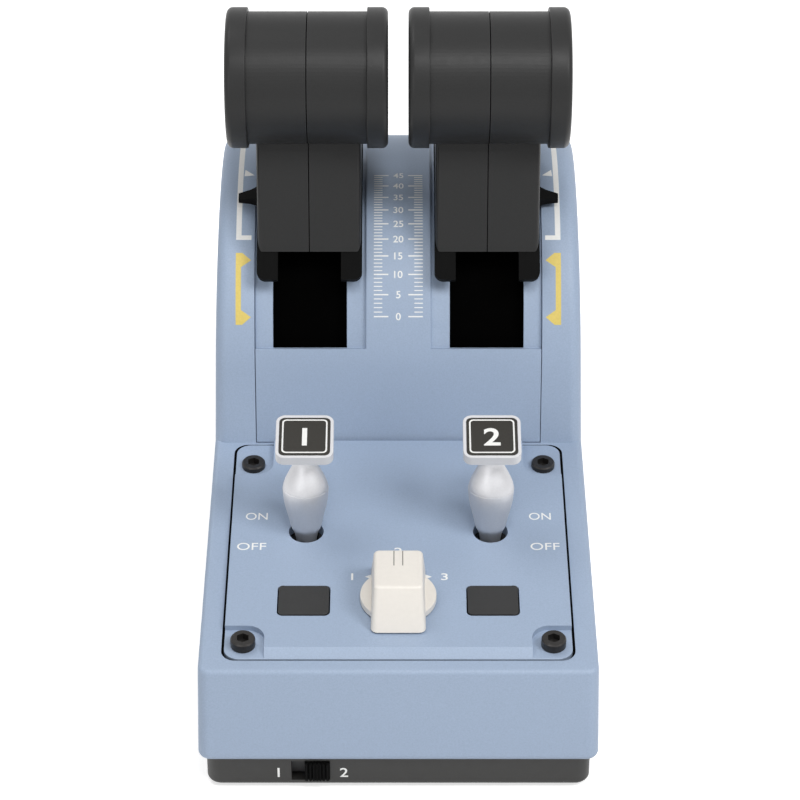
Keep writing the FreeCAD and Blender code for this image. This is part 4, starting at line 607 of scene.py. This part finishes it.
class QUADRANT_OT_housing(bpy.types.Operator):
    """Housing, arch cover and control plate"""
    bl_idname = "quadrant.housing"
    bl_label = "Housing"

    def execute(self, context):
        shell = dress("housing_shell", "housing")
        # The housing's faces in the control plate's seat take the near-black skirt finish as a second slot:
        # painted shade in the groove round the plate.
        shell.data.materials.append(finish_of("skirt"))
        low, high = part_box("control_plate")
        rim, seat_top = 1.2 * MM, -3.25 * MM
        reach = high.x + rim
        front = (Vector((0, low.y, high.z)) - KNOB_AT).dot(DECK_ALONG) - 2 * rim
        back = high.y - KNOB_AT.y + rim
        for face in shell.data.polygons:
            at = face.center - KNOB_AT
            under = abs(at.x) < reach and at.dot(DECK_UP) < seat_top
            if under and front < at.dot(DECK_ALONG) and at.y < back:
                face.material_index = 1
        dress("arch_cover", "housing")
        dress("control_plate", "housing")
        return {"FINISHED"}


class QUADRANT_OT_tray(bpy.types.Operator):
    """Base tray with its feet and screws"""
    bl_idname = "quadrant.tray"
    bl_label = "Base tray"

    def execute(self, context):
        dress("base_tray", "black")
        dress("rubber_feet", "rubber")
        refinish("base_screws", "screw")
        return {"FINISHED"}


class QUADRANT_OT_scale(bpy.types.Operator):
    """Ticks and numbers up the middle of the arch"""
    bl_idname = "quadrant.scale"
    bl_label = "Scale"

    def execute(self, context):
        size = sizes()
        mesh = scale_tick_mesh()
        add_piece("scale_ticks", mesh, "base", "white_plastic", finish_of("white_print"))
        digits = []
        for number in range(0, TICK_COUNT, LONG_EVERY):
            form = lettering(str(number), size.digit_tall, size.print_thick, stretch=1.05, weight=0.012)
            digits.append(bend_on_arch(form, scale_angle(number)))
        add_piece("scale_numbers", as_mesh(joined(digits), "scale_numbers"), "base", "white_plastic",
                  finish_of("white_print"))
        return {"FINISHED"}


class QUADRANT_OT_brackets(bpy.types.Operator):
    """Yellow and white range brackets beside the slots"""
    bl_idname = "quadrant.brackets"
    bl_label = "Brackets"

    def execute(self, context):
        size, turn = sizes(), angles()
        outer, bar, reach = size.bracket_x, size.bracket_wide, size.bracket_reach
        arrow, barb, notch, step = 5.4 * MM, 5.4 * MM * 0.52, 0.4 * MM, 2.0 * MM
        foot, mark_tall, mark_drop, mark_edge = 1.8 * MM, 3.2 * MM, 0.5 * MM, (0.6 * MM, 0.3 * MM)

        def up(degrees):
            return math.radians(degrees) * ARCH_RADIUS

        for name, sign in SIDES:
            def flip(points):
                return [(sign * x, y) for x, y in points][::sign]

            low, high = up(turn["yellow_low"]), up(turn["yellow_high"])
            inner, tip = outer - bar, outer - reach
            yellow = [flip([(outer, low), (outer, high), (inner - notch, high), (tip, high - barb),
                            (inner, high - arrow), (inner, low + arrow), (tip, low + barb),
                            (inner - notch, low)])]
            form = bend_on_arch(slab(yellow, size.print_thick, step))
            add_piece(f"yellow_bracket_{name}", as_mesh(form, "yellow"), "base", "knob_cream",
                      finish_of("yellow_print"))
            low, high = up(turn["white_low"]), up(turn["white_high"])
            mark = up(turn["white_mark"])
            white = [flip([(outer, low), (outer, high), (inner, high), (inner, low + foot), (tip, low + foot),
                           (tip, low)]),
                     flip([(inner - mark_edge[0], mark + mark_tall), (tip - notch, mark),
                           (inner - mark_edge[1], mark - mark_drop)])]
            form = bend_on_arch(slab(white, size.print_thick, step))
            add_piece(f"white_bracket_{name}", as_mesh(form, "white"), "base", "white_plastic",
                      finish_of("white_print"))
        return {"FINISHED"}


class QUADRANT_OT_plate_marks(bpy.types.Operator):
    """ON and OFF beside the toggles, arrows and plain numbers round the knob"""
    bl_idname = "quadrant.plate_marks"
    bl_label = "Plate marks"

    def execute(self, context):
        size = sizes()
        marks = []
        side, middle, number_tall = 16.0 * MM, 12.6 * MM, 3.6 * MM
        arrow_tip, arrow_back, arrow_half = 11.6 * MM, 8.6 * MM, 1.6 * MM
        for sign in (-1, 1):
            for words, along, stretch in (("ON", 45.7 * MM, 0.95), ("OFF", 29.0 * MM, 1.1)):
                form = lettering(words, size.word_tall, size.print_thick, stretch)
                half = max(v.co.x for v in form.verts)
                marks.append(lay_on_deck(form, sign * (size.word_inner + half), along))
        for words, x, along in (("1", -side, middle), ("2", 0.0, 26.5 * MM), ("3", side, middle)):
            form = lettering(words, number_tall, size.print_thick, stretch=1.25, weight=0.006)
            marks.append(lay_on_deck(form, x, along))
        for sign in (-1, 1):
            tip = [(sign * arrow_tip, 0), (sign * arrow_back, arrow_half), (sign * arrow_back, -arrow_half)]
            marks.append(lay_on_deck(slab([tip], size.print_thick), 0, middle))
        add_piece("plate_marks", as_mesh(joined(marks), "plate_marks"), "base", "white_plastic",
                  finish_of("white_print"))
        return {"FINISHED"}


class QUADRANT_OT_plate_screws(bpy.types.Operator):
    """Socket screws at the corners of the control plate"""
    bl_idname = "quadrant.plate_screws"
    bl_label = "Plate screws"

    def execute(self, context):
        size = sizes()
        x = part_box("plate_screws")[1].x - size.head_radius
        key = 2.3 * MM
        seats = {"front": (-20.7 * MM, -2.85 * MM), "rear": (77.2 * MM, -4.2 * MM)}
        places = [on_deck(side * x, along, floor) for side in (-1, 1) for along, floor in seats.values()]
        mesh = screw_mesh(places, DECK_UP, size.head_radius, size.head_tall, key)
        add_piece("plate_screws_finished", mesh, "base", SLOT_OF["plate_screws"], finish_of("screw"),
                  "plate_screws")
        return {"FINISHED"}


class QUADRANT_OT_levers(bpy.types.Operator):
    """Throttle levers: grips, end caps, skirts, thumb buttons and reversers"""
    bl_idname = "quadrant.levers"
    bl_label = "Levers"

    def execute(self, context):
        for name, _ in SIDES:
            for part in ("grip_inner", "grip_outer"):
                dress(f"{part}_{name}", "grip")
            for part in ("end_cap_inner", "end_cap_outer"):
                dress(f"{part}_{name}", "grip")
            # The slot skirts take the darkened skirt finish: painted shade under the grips.
            dress(f"slot_skirt_{name}", "skirt")
            dress(f"disconnect_button_{name}", "red")
            dress(f"reverser_{name}", "grip")
            # The lever arm is made all but black: painted shade in its slot.
            refinish(f"lever_arm_{name}", "dark")
            refinish(f"reverser_pin_{name}", "zinc")
        return {"FINISHED"}


class QUADRANT_OT_toggles(bpy.types.Operator):
    """Master toggles: turned stems, caps, and label plates with a frame and a number"""
    bl_idname = "quadrant.toggles"
    bl_label = "Master toggles"

    def execute(self, context):
        FINISHES["silver"] = turned("toggle_silver", colours().silver, 0.5, STEM_UP)
        for number, (name, _) in enumerate(SIDES, 1):
            self.stem(name)
            dress(f"toggle_cap_{name}", "cap")
            dress(f"toggle_label_{name}", "label")
            self.label(name, number)
        return {"FINISHED"}

    def stem(self, name):
        """A turned stem: its profile spun about the stem's axis, with crisp rings at the collar."""
        pivot = Vector(JOINTS[f"master_{name}_tip"]["pos_m"])
        ahead = STEM_UP.cross(Vector((1, 0, 0)))
        form = bmesh.new()
        steps = 96
        rings = []
        for r, a in STEM_PROFILE:
            ring = []
            for i in range(steps):
                turn = 2 * math.pi * i / steps
                side = Vector((math.cos(turn), 0, 0)) + ahead * math.sin(turn)
                ring.append(form.verts.new(pivot + STEM_UP * (a * MM) + side * (r * MM)))
            rings.append(ring)
        for low, high in zip(rings, rings[1:]):
            for i in range(steps):
                form.faces.new((low[i], low[(i + 1) % steps], high[(i + 1) % steps], high[i]))
        form.faces.new(rings[0])
        form.faces.new(rings[-1])
        bmesh.ops.recalc_face_normals(form, faces=form.faces)
        mesh = as_mesh(form, "stem")
        mesh.shade_smooth()
        mesh.set_sharp_from_angle(angle=math.radians(STEM_SHARP))
        add_piece(f"toggle_stem_{name}_finished", mesh, f"master_{name}", SLOT_OF[f"toggle_stem_{name}"],
                  finish_of("silver"), f"toggle_stem_{name}")

    def label(self, name, number):
        """A thin frame and a plain number on the label plate."""
        node = NODES[f"toggle_label_{name}"]
        by_turn, by_height = 1000, 100
        top = max(node.data.polygons, key=lambda face: face.normal.z * by_turn + face.center.z * by_height)
        up = top.normal.copy()
        corners = [v.co for v in node.data.vertices]
        middle = sum(corners, Vector()) / len(corners)
        height = max(c.dot(up) for c in corners)
        middle += up * (height - middle.dot(up))
        along = Vector((1, 0, 0)).cross(up) * -1
        half = (max(c.x for c in corners) - min(c.x for c in corners)) / 2
        thick = sizes().print_thick
        outside, inside = (half - 0.9 * MM, 1.5 * MM), (half - 1.45 * MM, 1.1 * MM)
        digit_tall, digit_drop, sink = 8.2 * MM, 0.3 * MM, 0.02 * MM

        def ring(size, corner):
            """Points round a square of that half size, with that corner radius."""
            points = []
            for cx, cy, start in ((1, 1, 0), (-1, 1, 90), (-1, -1, 180), (1, -1, 270)):
                for i in range(5):
                    turn = math.radians(start + i * 22.5)
                    points.append((cx * (size - corner) + corner * math.cos(turn),
                                   cy * (size - corner) + corner * math.sin(turn)))
            return points

        outer, inner = ring(*outside), ring(*inside)
        strips = [(outer[i], outer[(i + 1) % len(outer)], inner[(i + 1) % len(inner)], inner[i])
                  for i in range(len(outer))]
        frame = slab(strips, thick)
        bmesh.ops.remove_doubles(frame, verts=frame.verts, dist=1e-7)
        digit = lettering(str(number), digit_tall, thick, stretch=1.1, weight=0.02)
        for vert in digit.verts:
            vert.co.y -= digit_drop
        marks = joined([frame, digit])
        for vert in marks.verts:
            vert.co = middle + Vector((vert.co.x, 0, 0)) + along * vert.co.y + up * (vert.co.z - sink)
        bmesh.ops.recalc_face_normals(marks, faces=marks.faces)
        add_piece(f"toggle_marks_{name}", as_mesh(marks, "marks"), f"master_{name}", "white_plastic",
                  finish_of("white_print"))


class QUADRANT_OT_knob(bpy.types.Operator):
    """Mode knob with two dark grey lines on its top: painted shade standing in for engraved lines"""
    bl_idname = "quadrant.knob"
    bl_label = "Mode knob"

    def execute(self, context):
        dress("mode_knob", "knob")
        top, near, far = 13.9 * MM, 1.5 * MM, 9.2 * MM
        apart, wide, thick = 1.5 * MM, 0.18 * MM, 0.05 * MM
        # Two flat dark strips laid on the knob's top: painted shade where the lines would be engraved.
        lines = []
        for x in (-apart, apart):
            form = slab([[(x - wide, near), (x + wide, near), (x + wide, far), (x - wide, far)]], thick)
            for vert in form.verts:
                vert.co = on_deck(vert.co.x, vert.co.y, top + vert.co.z - PRINT_SINK)
            lines.append(form)
        add_piece("knob_lines", as_mesh(joined(lines), "knob_lines"), "mode", "label_dark",
                  finish_of("groove"))
        return {"FINISHED"}


class QUADRANT_OT_buttons(bpy.types.Operator):
    """Push buttons"""
    bl_idname = "quadrant.buttons"
    bl_label = "Push buttons"

    def execute(self, context):
        for name, _ in SIDES:
            dress(f"push_button_{name}", "button")
        return {"FINISHED"}


class QUADRANT_OT_slide(bpy.types.Operator):
    """Slide switch in the tray's front, its ribs and its two plain numbers"""
    bl_idname = "quadrant.slide"
    bl_label = "Slide switch"

    def execute(self, context):
        dress("slide_knob", "skirt")
        low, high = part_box("slide_knob")
        ribs = rib_mesh(low, high, count=7, wide=0.7 * MM, deep=0.5 * MM)
        add_piece("slider_ribs", ribs, "slider", "black_plastic", finish_of("skirt"))
        tray_low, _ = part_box("base_tray")
        marks = []
        thick, sink, tall, up = sizes().print_thick, 0.02 * MM, 4.0 * MM, 7.2 * MM
        for words, x in (("1", low.x - 9.0 * MM), ("2", high.x + 5.0 * MM)):
            form = lettering(words, tall, thick, stretch=1.1, weight=0.01)
            for vert in form.verts:
                vert.co = Vector((x + vert.co.x, tray_low.y - vert.co.z + sink, up + vert.co.y))
            marks.append(form)
        add_piece("slide_numbers", as_mesh(joined(marks), "slide_numbers"), "base", "white_plastic",
                  finish_of("white_print"))
        return {"FINISHED"}


class QUADRANT_OT_works(bpy.types.Operator):
    """The works inside the housing"""
    bl_idname = "quadrant.works"
    bl_label = "Works"

    def execute(self, context):
        finishes = {
            "zinc": ("bracket_left", "bracket_right", "bracket_centre", "pivot_axle", "axle_clips",
                     "spring_washers", "detent_sectors", "usb_socket", "board_screws", "detent_roller_left",
                     "detent_roller_right"),
            "bush": ("axle_sleeves", "friction_washers", "arm_bush_left", "arm_bush_right"),
            "magnet": ("magnet_ring_left", "magnet_ring_right"),
            "board": ("sensor_boards", "main_board", "panel_board"),
            "switch": ("rotary_switch", "tact_switches", "toggle_switches", "slide_switch"),
        }
        for name, nodes in finishes.items():
            for node in nodes:
                refinish(node, name)
        return {"FINISHED"}


# ---- studio ---------------------------------------------------------------

class QUADRANT_OT_stage(bpy.types.Operator):
    """Pale floor, soft lights and the camera"""
    bl_idname = "quadrant.stage"
    bl_label = "Stage"

    def execute(self, context):
        self.floor()
        self.world()
        self.lamp("key", (1.0, -0.75, 1.35), size=0.7, power=13)
        self.lamp("front", (0.15, -0.78, 1.5), size=0.45, power=7.5)
        self.lamp("side", (-0.9, -1.4, 0.75), size=0.9, power=4)
        self.lamp("above", (-0.6, 0.35, 1.5), size=0.8, power=5)
        self.camera()
        context.scene.view_settings.view_transform = "Standard"
        return {"FINISHED"}

    def floor(self):
        mesh = bpy.data.meshes.new("floor")
        reach, glow_level = 6.0, 0.6
        corners = [(-reach, -reach, 0), (reach, -reach, 0), (reach, reach, 0), (-reach, reach, 0)]
        mesh.from_pydata(corners, [], [(0, 1, 2, 3)])
        material = bpy.data.materials.new("pale_floor")
        material.use_nodes = True
        nodes, links = material.node_tree.nodes, material.node_tree.links
        shader = nodes["Principled BSDF"]
        shader.inputs["Base Color"].default_value = (0.86, 0.86, 0.86, 1)
        shader.inputs["Roughness"].default_value = 0.9
        shader.inputs["Specular IOR Level"].default_value = 0.1
        shader.inputs["Emission Color"].default_value = (1, 1, 1, 1)
        glow = nodes.new("ShaderNodeMath")
        glow.operation = "MULTIPLY"
        glow.inputs[1].default_value = glow_level
        links.new(self.seen(nodes, links), glow.inputs[0])
        links.new(glow.outputs[0], shader.inputs["Emission Strength"])
        mesh.materials.append(material)
        loose_object("floor", mesh)

    def seen(self, nodes, links):
        """1 where the camera sees the backdrop, straight or in a glossy or clear surface."""
        path = nodes.new("ShaderNodeLightPath")
        found = path.outputs["Is Camera Ray"]
        for ray in ("Is Glossy Ray", "Is Transmission Ray"):
            either = nodes.new("ShaderNodeMath")
            either.operation = "MAXIMUM"
            links.new(found, either.inputs[0])
            links.new(path.outputs[ray], either.inputs[1])
            found = either.outputs[0]
        return found

    def world(self):
        world = bpy.data.worlds.new("studio")
        world.use_nodes = True
        nodes, links = world.node_tree.nodes, world.node_tree.links
        back = nodes["Background"]
        lit, shown = 0.3, 1.0
        level = nodes.new("ShaderNodeMapRange")
        level.inputs["To Min"].default_value = lit
        level.inputs["To Max"].default_value = shown
        links.new(self.seen(nodes, links), level.inputs["Value"])
        links.new(level.outputs["Result"], back.inputs["Strength"])
        back.inputs["Color"].default_value = (1, 1, 1, 1)
        bpy.context.scene.world = world

    def lamp(self, name, place, size, power):
        """A round soft lamp, aimed at the middle of the piece."""
        aim = Vector((0, 0, 0.1))
        light = bpy.data.lights.new(name, "AREA")
        light.shape = "DISK"
        light.size = size
        light.energy = power
        thing = bpy.data.objects.new(name, light)
        bpy.context.scene.collection.objects.link(thing)
        thing.location = place
        thing.rotation_euler = (aim - Vector(place)).to_track_quat("-Z", "Y").to_euler()

    def camera(self):
        look_down = 33.5
        camera = bpy.data.cameras.new("camera")
        camera.lens = 139.5
        camera.sensor_width = 36
        camera.shift_x = 0.0021
        thing = bpy.data.objects.new("camera", camera)
        bpy.context.scene.collection.objects.link(thing)
        thing.location = (0, -0.9329, 0.6996)
        thing.rotation_euler = (math.radians(90 - look_down), 0, 0)
        bpy.context.scene.camera = thing


# ---- add-on ---------------------------------------------------------------

STEPS = (QUADRANT_OT_housing, QUADRANT_OT_tray, QUADRANT_OT_scale, QUADRANT_OT_brackets,
         QUADRANT_OT_plate_marks, QUADRANT_OT_plate_screws, QUADRANT_OT_levers, QUADRANT_OT_toggles,
         QUADRANT_OT_knob, QUADRANT_OT_buttons, QUADRANT_OT_slide, QUADRANT_OT_works, QUADRANT_OT_stage)


class QUADRANT_PT_panel(bpy.types.Panel):
    """The quadrant's pieces"""
    bl_idname = "QUADRANT_PT_panel"
    bl_label = "Throttle Quadrant"
    bl_space_type = "VIEW_3D"
    bl_region_type = "UI"
    bl_category = "Quadrant"

    def draw(self, context):
        for step in STEPS:
            self.layout.operator(step.bl_idname)


GROUPS = {"quadrant_sizes": QuadrantSizes, "quadrant_angles": QuadrantAngles,
          "quadrant_colours": QuadrantColours}


def register():
    for kind in (*GROUPS.values(), *STEPS, QUADRANT_PT_panel):
        bpy.utils.register_class(kind)
    for name, group in GROUPS.items():
        setattr(bpy.types.Scene, name, bpy.props.PointerProperty(type=group))


def unregister():
    for name in GROUPS:
        delattr(bpy.types.Scene, name)
    for kind in (QUADRANT_PT_panel, *reversed(STEPS), *reversed(list(GROUPS.values()))):
        bpy.utils.unregister_class(kind)


def main():
    register()
    for step in STEPS:
        area, name = step.bl_idname.split(".")
        getattr(getattr(bpy.ops, area), name)()


if __name__ == "__main__":
    main()
